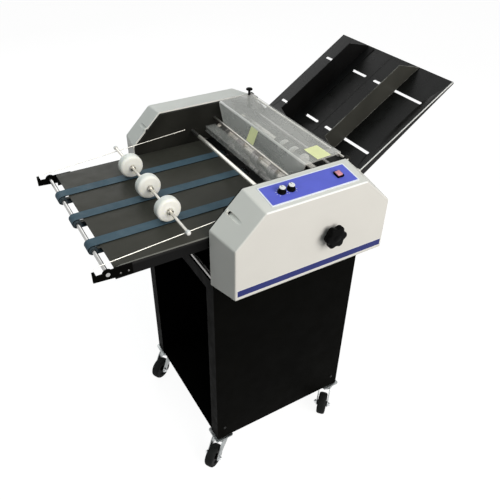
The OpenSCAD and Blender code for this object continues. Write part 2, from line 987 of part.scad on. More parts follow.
module upper_gear() {
    hub_r = journal_r + 4;
    color("dimgray")
        difference() {
            union() {
                crease_gear(upper_axis, -90 + 180 / gear_teeth);
                rod_y(upper_axis, hub_r, -head_w / 2 - feed_belt_from, -head_w / 2 - gear_from - gear_w);
                belt_pulley(upper_axis, big_pulley_r, feed_belt_from);
            }
            rod_y(upper_axis, journal_r, -head_w, 0);
        }
}

module feed_shaft() {
    color("silver") {
        rod_y(feed_axis, feed_core_r, -core_half, core_half);
        rod_y(feed_axis, thin_shaft_r, -head_w / 2 - drive_end, head_w / 2 + 2);
        belt_pulley(feed_axis, big_pulley_r, feed_belt_from);
    }
}

module feed_wheels() {
    color([0.25, 0.25, 0.25])
        for (i = [-1:1])
            let (y = i * feed_wheel_pitch - feed_wheel_shift)
                difference() {
                    rod_y(feed_axis, feed_wheel_d / 2, y - feed_wheel_w / 2, y + feed_wheel_w / 2);
                    rod_y(feed_axis, feed_core_r, -head_w, head_w);
                }
}

module drive_roller() {
    color("gray") {
        rod_y(drive_axis, thin_shaft_r, -head_w / 2 - roller_belt_from - pulley_w - 2, head_w / 2 + 2);
        belt_pulley(drive_axis, pulley_r, roller_belt_from);
        for (y = belt_places)
            rod_y(drive_axis, pulley_r, y - belt_w / 2 - 1, y + belt_w / 2 + 1);
    }
}

// A flat drive belt round two pulleys
module drive_loop(a, ra, b, rb, from) {
    upright(-head_w / 2 - from - 1, drive_belt_w)
        difference() {
            hull() {
                translate(a) circle(r = ra + pass_clear + drive_belt_t);
                translate(b) circle(r = rb + pass_clear + drive_belt_t);
            }
            hull() {
                translate(a) circle(r = ra + pass_clear);
                translate(b) circle(r = rb + pass_clear);
            }
        }
}

module drive_belts() {
    color([0.15, 0.15, 0.15]) {
        drive_loop(lower_axis, big_pulley_r, drive_axis, pulley_r, roller_belt_from);
        drive_loop(upper_axis, big_pulley_r, feed_axis, big_pulley_r, feed_belt_from);
    }
}

// Gear motor with a hollow output, on the far frame
module gear_motor() {
    box = [80, motor_end - 4, 76];
    motor_r = 32;
    motor_len = 112;
    start = head_w / 2;
    color("dimgray")
        difference() {
            union() {
                translate([lower_axis.x - box.x / 2, start, lower_axis.y - box.z + 28]) cube(box);
                translate([lower_axis.x + box.x / 2 - 1, start + box.y / 2, lower_axis.y - 21])
                    rotate([0, 90, 0]) cylinder(r = motor_r, h = motor_len);
            }
            rod_y(lower_axis, journal_r + run_clear, 0, head_w);
        }
}

module control_board() {
    board = [120, 2, 70];
    corner = [-cab_len / 2 + 50, -head_w / 2 - 14, head_z + 45];
    post_r = 3;
    color("darkgreen") {
        translate(corner) cube(board);
        for (x = [8, board.x - 8], z = [8, board.z - 8])
            rod_y([corner.x + x, corner.z + z], post_r, corner.y + 1, -head_w / 2);
        translate(corner + [20, -18, 15]) cube([30, 19, 40]);
        translate(corner + [65, -12, 20]) cube([40, 13, 25]);
    }
}

// Feed plate and tray

module feed_plate() {
    front = [crease_x + 23, path_z - 2.5];
    rear = [tray_x - 1.5, tray_z - 1.5];
    flange = 14;
    strip = [front - [0, tray_t], rear - [0, tray_t], rear, front];
    wall = [front - [0, flange], rear - [0, flange], rear, front];
    color([0.12, 0.12, 0.12]) {
        upright(inner_half, 2 * inner_half) polygon(strip);
        both_sides() upright(-inner_half + tray_t, tray_t) polygon(wall);
    }
}

// The tray's frame: x up its slope from the lower end, z off its upper face
module tray_frame() {
    translate([tray_x, 0, tray_z]) rotate([0, -tray_tilt, 0]) children();
}

// A round ended slot along Y
module tray_slot(x) {
    r = slot_w / 2;
    translate([x, 0, -tray_t - 1])
        linear_extrude(tray_t + 2) {
            translate([-r, slot_from + r]) square([slot_w, slot_to - slot_from - slot_w]);
            translate([0, slot_from + r]) circle(r = r);
            translate([0, slot_to - r]) circle(r = r);
        }
}

module feed_tray() {
    color([0.12, 0.12, 0.11])
        difference() {
            tray_frame()
                difference() {
                    union() {
                        slab([0, -inner_half, -tray_t], [tray_len, inner_half, 0]);
                        both_sides()
                            upright(-inner_half + tray_t, tray_t)
                                polygon([
                                    [0, 0],
                                    [0, -tray_flange_low],
                                    [tray_len, -tray_flange_top],
                                    [tray_len, 0]]);
                    }
                    both_sides()
                        for (row = slot_rows)
                            tray_slot(tray_len - row);
                }
            both_sides() at_tray_screws() screw_hole();
        }
}

// The right hand guide, with its clamp studs and nuts
module sheet_guide() {
    low = tray_len - guide_len;
    wall = [[low, pass_clear], [tray_len, pass_clear], [tray_len - guide_slant, guide_h], [low, guide_h]];
    color([0.13, 0.13, 0.12])
        tray_frame() {
            upright(-guide_half, guide_t) polygon(wall);
            slab([low + 5, -guide_half - 1, pass_clear],
                [tray_len - 5, -guide_half + guide_foot_w, pass_clear + guide_t]);
            for (row = slot_rows)
                translate([tray_len - row, -stud_y, 0]) {
                    translate([0, 0, -tray_t - pass_clear - nut_t])
                        cylinder(r = stud_r, h = tray_t + nut_t + 2 * pass_clear + guide_t / 2);
                    translate([0, 0, -tray_t - pass_clear - nut_t]) cylinder(r = nut_r, h = nut_t);
                }
        }
}

module right_guide() {
    sheet_guide();
}

module left_guide() {
    far_side() sheet_guide();
}

// Delivery

module conveyor_table() {
    cut_half = belt_w / 2 + 4;
    cut_front = drive_axis.x - loop_r - 4;
    cut_rear = drive_axis.x + loop_r + belt_t + 3;
    tongue = [table_front_gap - front_shaft_r - 3, 8];
    color([0.26, 0.26, 0.24])
        difference() {
            union() {
                slab([table_front_x, -inner_half, table_z - sheet_t], [table_rear_x, inner_half, table_z]);
                both_sides()
                    slab([table_front_x, -inner_half, table_flange_bottom],
                        [table_rear_x, -inner_half + sheet_t, table_z]);
                for (y = belt_places)
                    translate([table_front_x - tongue.x, y - belt_w / 2 - 3 - tongue.y, table_z - sheet_t])
                        cube([tongue.x + 1, tongue.y, sheet_t]);
            }
            for (y = belt_places)
                slab([cut_front, y - cut_half, table_z - sheet_t - 1],
                    [cut_rear, y + cut_half, table_z + 1]);
            rod_y(drive_axis, thin_shaft_r + shaft_room, -head_w, head_w);
            both_sides() at_bracket_screws() screw_hole();
        }
}

module roller_brackets() {
    z = front_axis.y;
    tip = front_axis.x - bracket_reach;
    boss_r = 12;
    arm_end = bracket_screw_x[1] + 10;
    color([0.1, 0.1, 0.1])
        both_sides()
            difference() {
                upright(-inner_half, bracket_t)
                    difference() {
                        union() {
                            polygon([
                                [tip, z - boss_r],
                                [arm_end, z - boss_r - 6],
                                [arm_end, z + 8],
                                [front_axis.x, z + 8],
                                [front_axis.x - boss_r + 2, z + 3],
                                [tip + 9, z + 3],
                                [tip + 6, z + 15],
                                [tip, z + 15]]);
                            translate(front_axis) circle(r = boss_r);
                        }
                        translate(front_axis) circle(r = front_shaft_r + run_clear);
                    }
                at_bracket_screws() screw_hole();
            }
}

module front_shaft() {
    half = inner_half + bracket_t + 2;
    color("silver") rod_y(front_axis, front_shaft_r, -half, half);
}

module front_pulleys() {
    color([0.2, 0.2, 0.2])
        for (y = belt_places)
            difference() {
                rod_y(front_axis, pulley_r, y - belt_w / 2 - 1, y + belt_w / 2 + 1);
                rod_y(front_axis, front_shaft_r, -head_w, head_w);
            }
}

// The flat outline of a belt loop of the given radius
module belt_loop(r) {
    translate([front_axis.x, front_axis.y - r]) square([belt_run, 2 * r]);
    translate(front_axis) circle(r = r);
    translate(drive_axis) circle(r = r);
}

module conveyor_belts() {
    color([0.27, 0.36, 0.41])
        for (y = belt_places)
            upright(y + belt_w / 2, belt_w)
                difference() {
                    belt_loop(loop_r + belt_t);
                    belt_loop(loop_r);
                }
}

module guide_wires() {
    length = (wire_rear_x - wire_front_x) / cos(wire_slope);
    corner = [wire_rear_x, -wire_y, wire_z(wire_rear_x)];
    color("silver")
        both_sides() {
            translate(corner) rotate([0, -90 - wire_slope, 0]) cylinder(r = wire_r, h = length);
            translate(corner) sphere(r = wire_r);
            rod_y([corner.x, corner.z], wire_r, -head_w / 2, -wire_y);
        }
}

module weight_rod() {
    set_r = weight_rod_r + 5;
    half = head_w / 2 + weight_rod_over;
    color("whitesmoke") {
        rod_y(rod_axis, weight_rod_r, -half, half);
        for (y = belt_places, side = [-1, 1])
            let (middle = y + side * (weight_wheel_w / 2 + pass_clear + collar_gap_w / 2))
                rod_y(rod_axis, set_r, middle - collar_gap_w / 2, middle + collar_gap_w / 2);
    }
}

// A weight wheel with rounded edges
module weight_wheel(y) {
    r = weight_wheel_d / 2;
    edge = 7;
    half = weight_wheel_w / 2;
    color("ivory")
        translate([rod_axis.x, y, rod_axis.y])
            rotate([90, 0, 0])
                difference() {
                    union() {
                        cylinder(r = r - edge, h = weight_wheel_w, center = true);
                        cylinder(r = r, h = weight_wheel_w - 2 * edge, center = true);
                        for (z = [edge - half, half - edge])
                            translate([0, 0, z]) rotate_extrude() translate([r - edge, 0]) circle(r = edge);
                    }
                    cylinder(r = weight_rod_r + run_clear, h = weight_wheel_w + 1, center = true);
                }
}

module weight_wheel_near() {
    weight_wheel(belt_places[0]);
}

module weight_wheel_middle() {
    weight_wheel(belt_places[1]);
}

module weight_wheel_far() {
    weight_wheel(belt_places[2]);
}

// Safety guard

// The guard's inner corners, one thickness inside its outline
guard_top_in = inward(guard_rear, guard_bend) * guard_t;
guard_front_in = inward(guard_bend, guard_foot) * guard_t;
guard_bend_in = line_meet(guard_rear + guard_top_in, guard_bend - guard_rear,
    guard_bend + guard_front_in, guard_foot - guard_bend);

// Height of the guard's underside at x
function guard_under(x) = guard_rear.y + guard_top_in.y
    + (x - guard_rear.x - guard_top_in.x) * guard_top_rise / guard_top_len;

// What is cut off the guard's front, drawn across it with y = 0 at the bend
module guard_front_cuts() {
    drop = norm(guard_foot - guard_bend);
    start = guard_t + 2;
    run = guard_far_slant / (drop - start);
    outer = guard_span[1] + run;
    polygon([[outer, 1 - start], [outer - run * (drop - start + 2), -drop - 1], [outer, -drop - 1]]);
    translate([guard_span[0] + guard_corner_r, guard_corner_r - drop])
        polygon(concat(
            [[-guard_corner_r - 0.5, 3]],
            [for (a = [195:15:255]) guard_corner_r * [cos(a), sin(a)]],
            [[3, -guard_corner_r - 0.5], [-guard_corner_r - 0.5, -guard_corner_r - 0.5]]));
}

module safety_guard() {
    color([0.75, 0.78, 0.76, 0.5])
        difference() {
            upright(guard_span[1], guard_span[1] - guard_span[0])
                polygon([guard_rear, guard_bend, guard_foot, guard_foot + guard_front_in,
                    guard_bend_in, guard_rear + guard_top_in]);
            translate([guard_bend.x, 0, guard_bend.y])
                rotate([0, atan2(guard_front_lean, guard_front_h), 0])
                    rotate([90, 0, 90])
                        translate([0, 0, -1]) linear_extrude(guard_t + 2) guard_front_cuts();
            translate([thumb_x, clip_places[1], path_z]) cylinder(r = thumb_r + run_clear, h = head_w);
        }
}

module guard_clips() {
    start = hinge_axis.x - clip_reach;
    tongue = [
        [start, guard_under(start)],
        [start, guard_under(start) - clip_t],
        [hinge_axis.x, guard_under(guard_rear.x) - clip_t],
        [guard_rear.x, guard_under(guard_rear.x)]];
    color("silver")
        for (y = clip_places)
            difference() {
                upright(y + clip_w / 2, clip_w)
                    difference() {
                        union() {
                            polygon(tongue);
                            translate(hinge_axis) circle(r = clip_r);
                        }
                        translate(hinge_axis) circle(r = guard_rod_r + run_clear);
                    }
                translate([thumb_x, clip_places[1], path_z]) cylinder(r = thumb_r + run_clear, h = head_w);
            }
}

module guard_knob() {
    seat = guard_under(thumb_x) + guard_t + 1;
    stem_h = 12;
    head_r = 10;
    head_h = 8;
    color([0.08, 0.08, 0.08])
        translate([thumb_x, clip_places[1], seat]) {
            translate([0, 0, -guard_t - clip_t - 4]) cylinder(r = thumb_r, h = guard_t + clip_t + 5);
            cylinder(r = thumb_r + 1.5, h = stem_h + 1);
            translate([0, 0, stem_h]) cylinder(r1 = head_r - 2, r2 = head_r, h = head_h / 2);
            translate([0, 0, stem_h + head_h / 2]) cylinder(r1 = head_r, r2 = head_r - 4, h = head_h / 2);
        }
}

// Controls

knob_stem_r = 3;
knob_lift = 0.4;
switch_body = [switch_len - 4, switch_w - 4];
switch_hole = [switch_len - 7, switch_w - 7];
bezel_t = 2.5;
rocker_pin_r = 1.5;
rocker_tilt = 8;

module control_panel() {
    color([0.36, 0.38, 0.75])
        difference() {
            on_panel(panel_x)
                translate([0, 0, panel_t / 2]) cube([panel_len, panel_w, panel_t], center = true);
            for (x = speed_knob_x)
                on_panel(x) cylinder(r = knob_stem_r + run_clear, h = 4 * cover_wall, center = true);
            on_panel(switch_x) cube([switch_body.x, switch_body.y, 4 * cover_wall], center = true);
        }
}

module speed_knob(x) {
    skirt_h = 5;
    color([0.06, 0.06, 0.06])
        on_panel(x)
            translate([0, 0, panel_t + knob_lift]) {
                cylinder(r = speed_knob_d / 2, h = skirt_h);
                cylinder(r1 = speed_knob_d / 2 - 1.5, r2 = speed_knob_d / 2 - 2.5, h = speed_knob_h);
                translate([0, 0, -14]) cylinder(r = knob_stem_r, h = 15);
            }
}

module speed_knob_front() {
    speed_knob(speed_knob_x[0]);
}

module speed_knob_rear() {
    speed_knob(speed_knob_x[1]);
}

module switch_bezel() {
    depth = 16;
    floor_t = 3;
    pin_end = switch_hole.y / 2 + 1.2;
    color([0.06, 0.06, 0.06])
        on_panel(switch_x)
            difference() {
                union() {
                    translate([-switch_len / 2, -switch_w / 2, panel_t])
                        cube([switch_len, switch_w, bezel_t]);
                    translate([-switch_body.x / 2, -switch_body.y / 2, -depth])
                        cube([switch_body.x, switch_body.y, depth + panel_t + 1]);
                }
                translate([-switch_hole.x / 2, -switch_hole.y / 2, -depth + floor_t])
                    cube([switch_hole.x, switch_hole.y, 2 * depth]);
                rod_y([0, panel_t], rocker_pin_r + run_clear, -pin_end, pin_end);
            }
}

module power_rocker() {
    half_len = switch_hole.x / 2 - 1.2;
    half_w = switch_hole.y / 2 - pass_clear;
    pin_end = switch_hole.y / 2 + 0.9;
    color([0.85, 0.35, 0.38])
        on_panel(switch_x)
            translate([0, 0, panel_t])
                rotate([0, rocker_tilt, 0]) {
                    upright(half_w, 2 * half_w)
                        polygon([[-half_len, -4], [half_len, -4], [half_len, 6], [0, 4], [-half_len, 6]]);
                    rod_y([0, 0], rocker_pin_r, -pin_end, pin_end);
                }
}

module hand_knob() {
    lobe_r = hand_knob_d / 6;
    ring_r = hand_knob_d / 2 - lobe_r;
    hub_r = journal_r + 5;
    star_y = hand_knob_y - hand_knob_hub;
    color([0.07, 0.07, 0.07])
        difference() {
            union() {
                rod_y(lower_axis, hub_r, star_y, hand_knob_y);
                rod_y(lower_axis, ring_r, star_y - hand_knob_t, star_y);
                for (i = [0:hand_knob_lobes - 1])
                    let (a = i * 360 / hand_knob_lobes)
                        rod_y(lower_axis + ring_r * [cos(a), sin(a)], lobe_r, star_y - hand_knob_t, star_y);
            }
            rod_y(lower_axis, journal_r, star_y - hand_knob_t / 2, 0);
        }
}

placed() near_panel();
placed() far_panel();
placed() base_and_back();
placed() top_plate();
placed() screws();
placed() caster_plates();
placed() fork_near_front();
placed() fork_near_rear();
placed() fork_far_front();
placed() fork_far_rear();
placed() wheel_near_front();
placed() wheel_near_rear();
placed() wheel_far_front();
placed() wheel_far_rear();
placed() near_side_frame();
placed() far_side_frame();
placed() near_cover();
placed() far_cover();
placed() tie_rods();
placed() crossbar();
placed() exit_guide();
placed() shaft_bearings();
placed() lower_shaft();
placed() crease_dies();
placed() lower_gear();
placed() hand_knob();
placed() upper_shaft();
placed() crease_blades();
placed() upper_gear();
placed() feed_shaft();
placed() feed_wheels();
placed() drive_roller();
placed() drive_belts();
placed() gear_motor();
placed() control_board();
placed() power_inlet();
placed() feed_plate();
placed() separator();
placed() conveyor_table();
placed() roller_brackets();
placed() front_shaft();
placed() front_pulleys();
placed() conveyor_belts();
placed() guide_wires();
placed() weight_rod();
placed() weight_wheel_near();
placed() weight_wheel_middle();
placed() weight_wheel_far();
placed() safety_guard();
placed() guard_clips();
placed() guard_knob();
placed() guard_rods();
placed() feed_tray();
placed() left_guide();
placed() right_guide();
placed() control_panel();
placed() speed_knob_front();
placed() speed_knob_rear();
placed() switch_bezel();
placed() power_rocker();
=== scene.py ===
"""Dresses the paper creasing machine with covers, casters, knobs, guard and finishes, on a pale floor."""

import json
import math

import bpy
from bpy.props import FloatProperty, FloatVectorProperty, IntProperty, PointerProperty
from mathutils import Matrix, Vector


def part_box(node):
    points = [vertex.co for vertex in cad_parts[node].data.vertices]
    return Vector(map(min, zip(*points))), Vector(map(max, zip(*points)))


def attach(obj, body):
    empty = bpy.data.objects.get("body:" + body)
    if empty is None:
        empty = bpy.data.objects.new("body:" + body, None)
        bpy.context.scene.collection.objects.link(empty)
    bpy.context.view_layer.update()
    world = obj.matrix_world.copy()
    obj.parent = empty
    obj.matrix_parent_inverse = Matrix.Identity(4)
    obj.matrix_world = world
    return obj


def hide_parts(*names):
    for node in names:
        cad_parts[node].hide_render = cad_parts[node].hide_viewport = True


bl_info = {
    "name": "Paper creasing machine",
    "version": (1, 0, 0),
    "blender": (4, 5, 0),
    "location": "View3D > Sidebar > Creaser",
    "description": "Builds the finished pieces of a paper creasing machine on its frame",
    "category": "Object",
}

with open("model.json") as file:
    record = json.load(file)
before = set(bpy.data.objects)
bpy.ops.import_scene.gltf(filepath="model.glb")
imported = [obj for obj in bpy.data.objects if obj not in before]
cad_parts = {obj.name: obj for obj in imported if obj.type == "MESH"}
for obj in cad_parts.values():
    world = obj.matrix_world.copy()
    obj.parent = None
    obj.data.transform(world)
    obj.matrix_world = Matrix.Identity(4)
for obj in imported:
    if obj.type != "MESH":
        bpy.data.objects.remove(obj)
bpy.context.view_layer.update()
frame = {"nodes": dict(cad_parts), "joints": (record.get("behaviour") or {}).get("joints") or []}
NODES = frame["nodes"]
JOINTS = {joint["name"]: joint for joint in frame["joints"]}
CASTERS = ("near_front", "near_rear", "far_front", "far_rear")
WHEELS = ("near", "middle", "far")
X, Y, Z = Vector((1, 0, 0)), Vector((0, 1, 0)), Vector((0, 0, 1))
MM = 0.001


# Places on the frame

def span(node):
    """Lowest corner, highest corner and middle of a CAD node."""
    low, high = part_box(node)
    return low, high, (low + high) / 2


COVER_LOW, COVER_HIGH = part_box("near_cover")
MID_Y = (COVER_LOW.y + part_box("far_cover")[1].y) / 2
LOWER_AXIS = span("crease_dies")[2]
PANEL_X = span("control_panel")[2].x
SWITCH_X = span("switch_bezel")[2].x
# Where the painted shade under the exit begins, on the delivery table and its belts
PAINTED_SHADE_X = span("crossbar")[2].x + 0.025
TRAY_TILT = math.radians(33.6)
TRAY_LENGTH = 0.4


def tray_frame():
    """The tray's own frame: x up its slope from the near lower corner, z off its upper face."""
    low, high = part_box("feed_tray")
    rise = TRAY_LENGTH * math.sin(TRAY_TILT)
    return Matrix.Translation((low.x, low.y, high.z - rise)) @ Matrix.Rotation(-TRAY_TILT, 4, "Y")


# Tolerance of a touch, reach of a cutting tool past a wall, and roundings of edges
TOUCH = 1e-5
THROUGH = 0.02
FILM_EDGE = 0.0001
METAL_EDGE = 0.0005
MOULD_EDGE = 0.0006


# Sizes and colours

def length(name, words, millimetres):
    """A length property, given in millimetres."""
    return FloatProperty(name=name, description=words, default=millimetres / 1000, min=0, unit="LENGTH")


def count(name, words, number, least):
    """A property that counts repeats."""
    return IntProperty(name=name, description=words, default=number, min=least)


def paint(name, words, red, green, blue):
    """A colour property, given in the 0 to 255 values of a paint sample."""
    def linear(v):
        v /= 255
        return v / 12.92 if v <= 0.04045 else ((v + 0.055) / 1.055) ** 2.4
    return FloatVectorProperty(
        name=name, description=words, subtype="COLOR", size=3, min=0, max=1,
        default=(linear(red), linear(green), linear(blue)))


class CreaserCoverSizes(bpy.types.PropertyGroup):
    front_run: length("Front chamfer run", "Length of the covers' front chamfer", 86)
    front_rise: length("Front chamfer rise", "Height of the covers' front chamfer", 85)
    rear_run: length("Rear chamfer run", "Length of the covers' rear chamfer", 88)
    rear_rise: length("Rear chamfer rise", "Height of the covers' rear chamfer", 82)
    draft: length("Draft", "Inward slope of the covers' sides over their depth", 14.7)
    edge: length("Edge rounding", "Width of the covers' rounded edges", 3.5)
    wall: length("Wall", "Thickness of the covers' wall", 3.5)
    scoop: length("Scoop radius", "Radius of the grooves that lead to the cover screws", 6)
    scoop_inset: length("Scoop inset", "Distance of the grooves' axes inside the rim", 4)
    scoop_end: length("Scoop end", "Distance of the grooves' inner ends from the rim's plane", 10)
    bore: length("Bore radius", "Radius of the holes that the cover screws sit in", 4.7)
    screw_inset: length("Screw inset", "Distance of the cover screws inside the rim", 6.5)
    seat: length("Screw seat", "Distance of the cover screws' seats from the rim's plane", 5)
    shaft_hole: length("Shaft hole", "Radius of the near cover's hole at the hand knob", 11.5)
    stripe_low: length("Stripe foot", "Height of the stripe's lower edge over the cover's lower edge", 24)
    stripe_high: length("Stripe top", "Height of the stripe's upper edge over the cover's lower edge", 44)
    stripe_line: length("Stripe line", "Width of the white line round the stripe", 1.2)


class CreaserControlSizes(bpy.types.PropertyGroup):
    knob: length("Speed knob radius", "Radius of a speed knob at its skirt", 10.4)
    knob_height: length("Speed knob height", "Height of a speed knob over the panel", 14)
    cap: length("Cap radius", "Radius of the white cap on a speed knob", 7.5)
    flutes: count("Flutes", "Number of flutes round a speed knob", 20, 8)
    ticks: count("Ticks", "Number of scale marks round a speed knob", 9, 3)
    lobes: count("Lobes", "Number of lobes on the hand knob", 6, 3)
    lobe_depth: length("Lobe depth", "Depth of the hollows between the hand knob's lobes", 5.6)
    star: length("Star", "Thickness of the hand knob's lobed part", 18)
    face_x: length("Face length", "Half length of the panel's blue face", 118)
    face_y: length("Face width", "Half width of the panel's blue face", 31.2)
    border: length("Border", "Width of the panel's white border", 3.4)
    switch_x: length("Switch length", "Half length of the switch along the panel", 9.2)
    switch_y: length("Switch width", "Half width of the switch across the panel", 10.5)


class CreaserCasterSizes(bpy.types.PropertyGroup):
    trail: length("Trail", "Distance of the axle behind the swivel pin", 46)
    tyre: length("Wheel radius", "Radius of a caster wheel", 37.5)
    rubber: length("Rubber", "Thickness of the tyre round the wheel's core", 11.5)
    width: length("Wheel width", "Width of a caster wheel", 28)
    play: length("Play", "Gap between a wheel and the cheeks of its fork", 3)
    plate: length("Plate", "Side of the square mounting plate", 60)
    steel: length("Steel", "Thickness of the pressed steel", 3)
    bolt_reach: length("Bolt reach", "Distance of a plate's bolts from its middle lines", 22.5)


class CreaserGuardSizes(bpy.types.PropertyGroup):
    thick: length("Thickness", "Thickness of the clear sheet", 4)
    rise: length("Top rise", "Rise of the guard's top towards the feed end", 6)
    front: length("Front height", "Height of the guard's sloping front", 43)
    lean: length("Front lean", "Distance that the front reaches forward at its foot", 18)
    bend: length("Bend", "Width of the rounding along the bend", 4)
    slant: length("Far slant", "Distance that the front's far side slants in at its foot", 56)
    slant_start: length("Slant start", "Distance below the bend where the far side begins to slant", 6)
    corner: length("Corner", "Rounding of the near lower corner", 15)


class CreaserColours(bpy.types.PropertyGroup):
    cover: paint("Cover", "Paint of the end covers", 222, 221, 216)
    black: paint("Black", "Powder coat of the cabinet", 5, 5, 4)
    frame: paint("Frame", "Satin black of the side frames", 33, 33, 30)
    tray: paint("Tray", "Semi gloss black of the feed tray", 14, 14, 13)
    # This grey is the near guide's painted light; the far guide, the same part, gets near black as painted
    # shade
    guide: paint("Guide", "Satin black of the sheet guides", 52, 52, 48)
    # The table is black; this grey on its open top is a painted sheen
    table: paint("Table", "Olive grey of the delivery table", 64, 63, 57)
    belt: paint("Belt", "Slate blue of the delivery belts", 68, 88, 100)
    ivory: paint("Ivory", "Plastic of the weight wheels", 249, 249, 242)
    panel: paint("Panel", "Violet blue of the control panel", 98, 106, 212)
    stripe: paint("Stripe", "Deep blue of the stripe", 49, 56, 116)
    rocker: paint("Rocker", "Pinkish red of the rocker switch", 224, 152, 164)
    patch: paint("Patch", "Pale yellow of the guard's patches", 248, 250, 190)
    floor: paint("Floor", "Floor under its white light", 112, 112, 112)


# Outlines

def profile(points, radius=0.0, height=0.0):
    """Points in millimetres, measured from a radius and a height in metres."""
    return [(radius + r * MM, height + h * MM) for r, h in points]


def arc(radius, degrees, x=0.0, y=0.0):
    """Points on an arc about a centre, at the angles given."""
    return [(x + radius * math.cos(a), y + radius * math.sin(a)) for a in map(math.radians, degrees)]


def mirrored(half):
    """A closed profile from one half of it."""
    return half + [(r, -h) for r, h in reversed(half)] + [half[0]]


def inset(points, d):
    """A counter-clockwise outline with every edge moved inwards."""
    result = []
    for i, b in enumerate(points):
        a, c = points[i - 1], points[(i + 1) % len(points)]
        p, q = (Vector(b) - Vector(a)).normalized(), (Vector(c) - Vector(b)).normalized()
        result.append(Vector(b) + Vector((-p.y - q.y, p.x + q.x)) * (d / (1 + p.dot(q))))
    return result


# Working in edit mode

def clear():
    """Leaves edit mode and deselects everything."""
    if bpy.context.object and bpy.context.object.mode != "OBJECT":
        bpy.ops.object.mode_set(mode="OBJECT")
    bpy.ops.object.select_all(action="DESELECT")


def only(obj):
    """Makes one object the selected and active one."""
    clear()
    obj.select_set(True)
    bpy.context.view_layer.objects.active = obj
    return obj


def opened(obj):
    """Opens an object in edit mode with all of it selected."""
    only(obj)
    bpy.ops.object.mode_set(mode="EDIT")
    bpy.ops.mesh.select_all(action="SELECT")
    return obj


def closed(obj):
    """Leaves edit mode."""
    bpy.ops.object.mode_set(mode="OBJECT")
    return obj


def started(name):
    """Names the object that an operator has just made."""
    obj = bpy.context.object
    obj.name = name
    obj.data.name = name
    return obj


def pick(obj, kind, test):
    """Opens an object in edit mode with the vertices, edges or faces selected that pass a test."""
    only(obj)
    mesh = obj.data
    bpy.context.tool_settings.mesh_select_mode = (kind == "VERT", kind == "EDGE", kind == "FACE")
    for group in (mesh.vertices, mesh.edges, mesh.polygons):
        group.foreach_set("select", [False] * len(group))
    if kind == "VERT":
        for v in mesh.vertices:
            v.select = test(v.co)
    elif kind == "EDGE":
        for e in mesh.edges:
            a, b = (mesh.vertices[i].co for i in e.vertices)
            e.select = test(a, b)
    else:
        for p in mesh.polygons:
            p.select = test(p.center, p.normal)
    bpy.ops.object.mode_set(mode="EDIT")


def shape(obj, kind, test, operator, **settings):
    """Works an edit-mode operator on the vertices, edges or faces that pass a test."""
    pick(obj, kind, test)
    operator(**settings)
    return closed(obj)


def outside(obj):
    """Merges doubles and turns every face outwards."""
    opened(obj)
    bpy.ops.mesh.remove_doubles(threshold=1e-6)
    bpy.ops.mesh.normals_make_consistent(inside=False)
    return closed(obj)


def trace(name, points):
    """A line of edges, drawn by extruding one vertex from point to point."""
    clear()
    bpy.ops.mesh.primitive_plane_add(size=0.01)
    bpy.context.tool_settings.mesh_select_mode = (True, False, False)
    obj = opened(started(name))
    bpy.ops.mesh.merge(type="CENTER")
    bpy.ops.transform.translate(value=Vector(points[0]))
    for a, b in zip(points, points[1:]):
        bpy.ops.mesh.extrude_vertices_move(TRANSFORM_OT_translate={"value": Vector(b) - Vector(a)})
    return closed(obj)


def plate(name, points, push):
    """A flat outline, filled and extruded."""
    obj = opened(trace(name, points))
    bpy.ops.mesh.edge_face_add()
    bpy.ops.mesh.extrude_region_move(TRANSFORM_OT_translate={"value": Vector(push)})
    return outside(obj)


def lathe(name, points, centre=(0, 0, 0), axis=Z, steps=48):
    """A profile of radius and height pairs, spun about an axis."""
    centre = Vector(centre)
    side = axis.orthogonal().normalized()
    obj = opened(trace(name, [centre + side * r + axis * h for r, h in points]))
    bpy.ops.mesh.spin(steps=steps, angle=math.tau, center=centre, axis=axis)
    return outside(obj)


def drum(name, radius, low, high, centre=(0, 0, 0), axis=Z, steps=40):
    """A plain round bar between two heights."""
    return lathe(name, [(0, low), (radius, low), (radius, high), (0, high)], centre, axis, steps)


def block(name, low, high):
    """A box between two corners."""
    low, high = Vector(low), Vector(high)
    clear()
    bpy.ops.mesh.primitive_cube_add(size=1, location=(low + high) / 2, scale=high - low)
    obj = started(name)
    bpy.ops.object.transform_apply(location=True, rotation=True, scale=True)
    return obj


def place(obj, matrix):
    """Puts a piece where it belongs and keeps that place in its mesh."""
    obj.matrix_world = matrix
    only(obj)
    bpy.ops.object.transform_apply(location=True, rotation=True, scale=True)
    return obj


def twin(obj, name, matrix):
    """A copy with its own mesh, put in its place."""
    only(obj)
    bpy.ops.object.duplicate(linked=False)
    return place(started(name), matrix)


def copies(model, name, places):
    """Copies of a model at several places. The model itself is thrown away."""
    made = [twin(model, name, at) for at in places]
    bpy.data.objects.remove(model)
    return made


def modified(obj, kind, **settings):
    """Makes a modifier's result the piece's own mesh."""
    mod = obj.modifiers.new(kind.lower(), kind)
    for name, value in settings.items():
        setattr(mod, name, value)
    only(obj)
    bpy.ops.object.modifier_apply(modifier=mod.name)
    return obj


def bevel(obj, width, segments=3, angle=30):
    """Rounds the edges that are sharper than an angle."""
    return modified(obj, "BEVEL", width=width, segments=segments, limit_method="ANGLE",
                    angle_limit=math.radians(angle))


def rounded(obj, radius, segments):
    """Rounds the upright edges of a box."""
    return shape(obj, "EDGE", lambda a, b: abs(a.z - b.z) > TOUCH, bpy.ops.mesh.bevel,
                 offset=radius, segments=segments, affect="EDGES")


def thicken(obj, thickness):
    """Gives a sheet its thickness, inwards."""
    return modified(obj, "SOLIDIFY", thickness=thickness, offset=-1, use_even_offset=True)


def cut(obj, tool):
    """Takes a tool's shape out of a piece and throws the tool away."""
    modified(obj, "BOOLEAN", operation="DIFFERENCE", solver="EXACT", object=tool)
    bpy.data.objects.remove(tool)
    return obj


def joined(name, pieces):
    """Several shapes as one piece."""
    clear()
    for p in pieces:
        p.select_set(True)
    bpy.context.view_layer.objects.active = pieces[0]
    bpy.ops.object.join()
    return started(name)


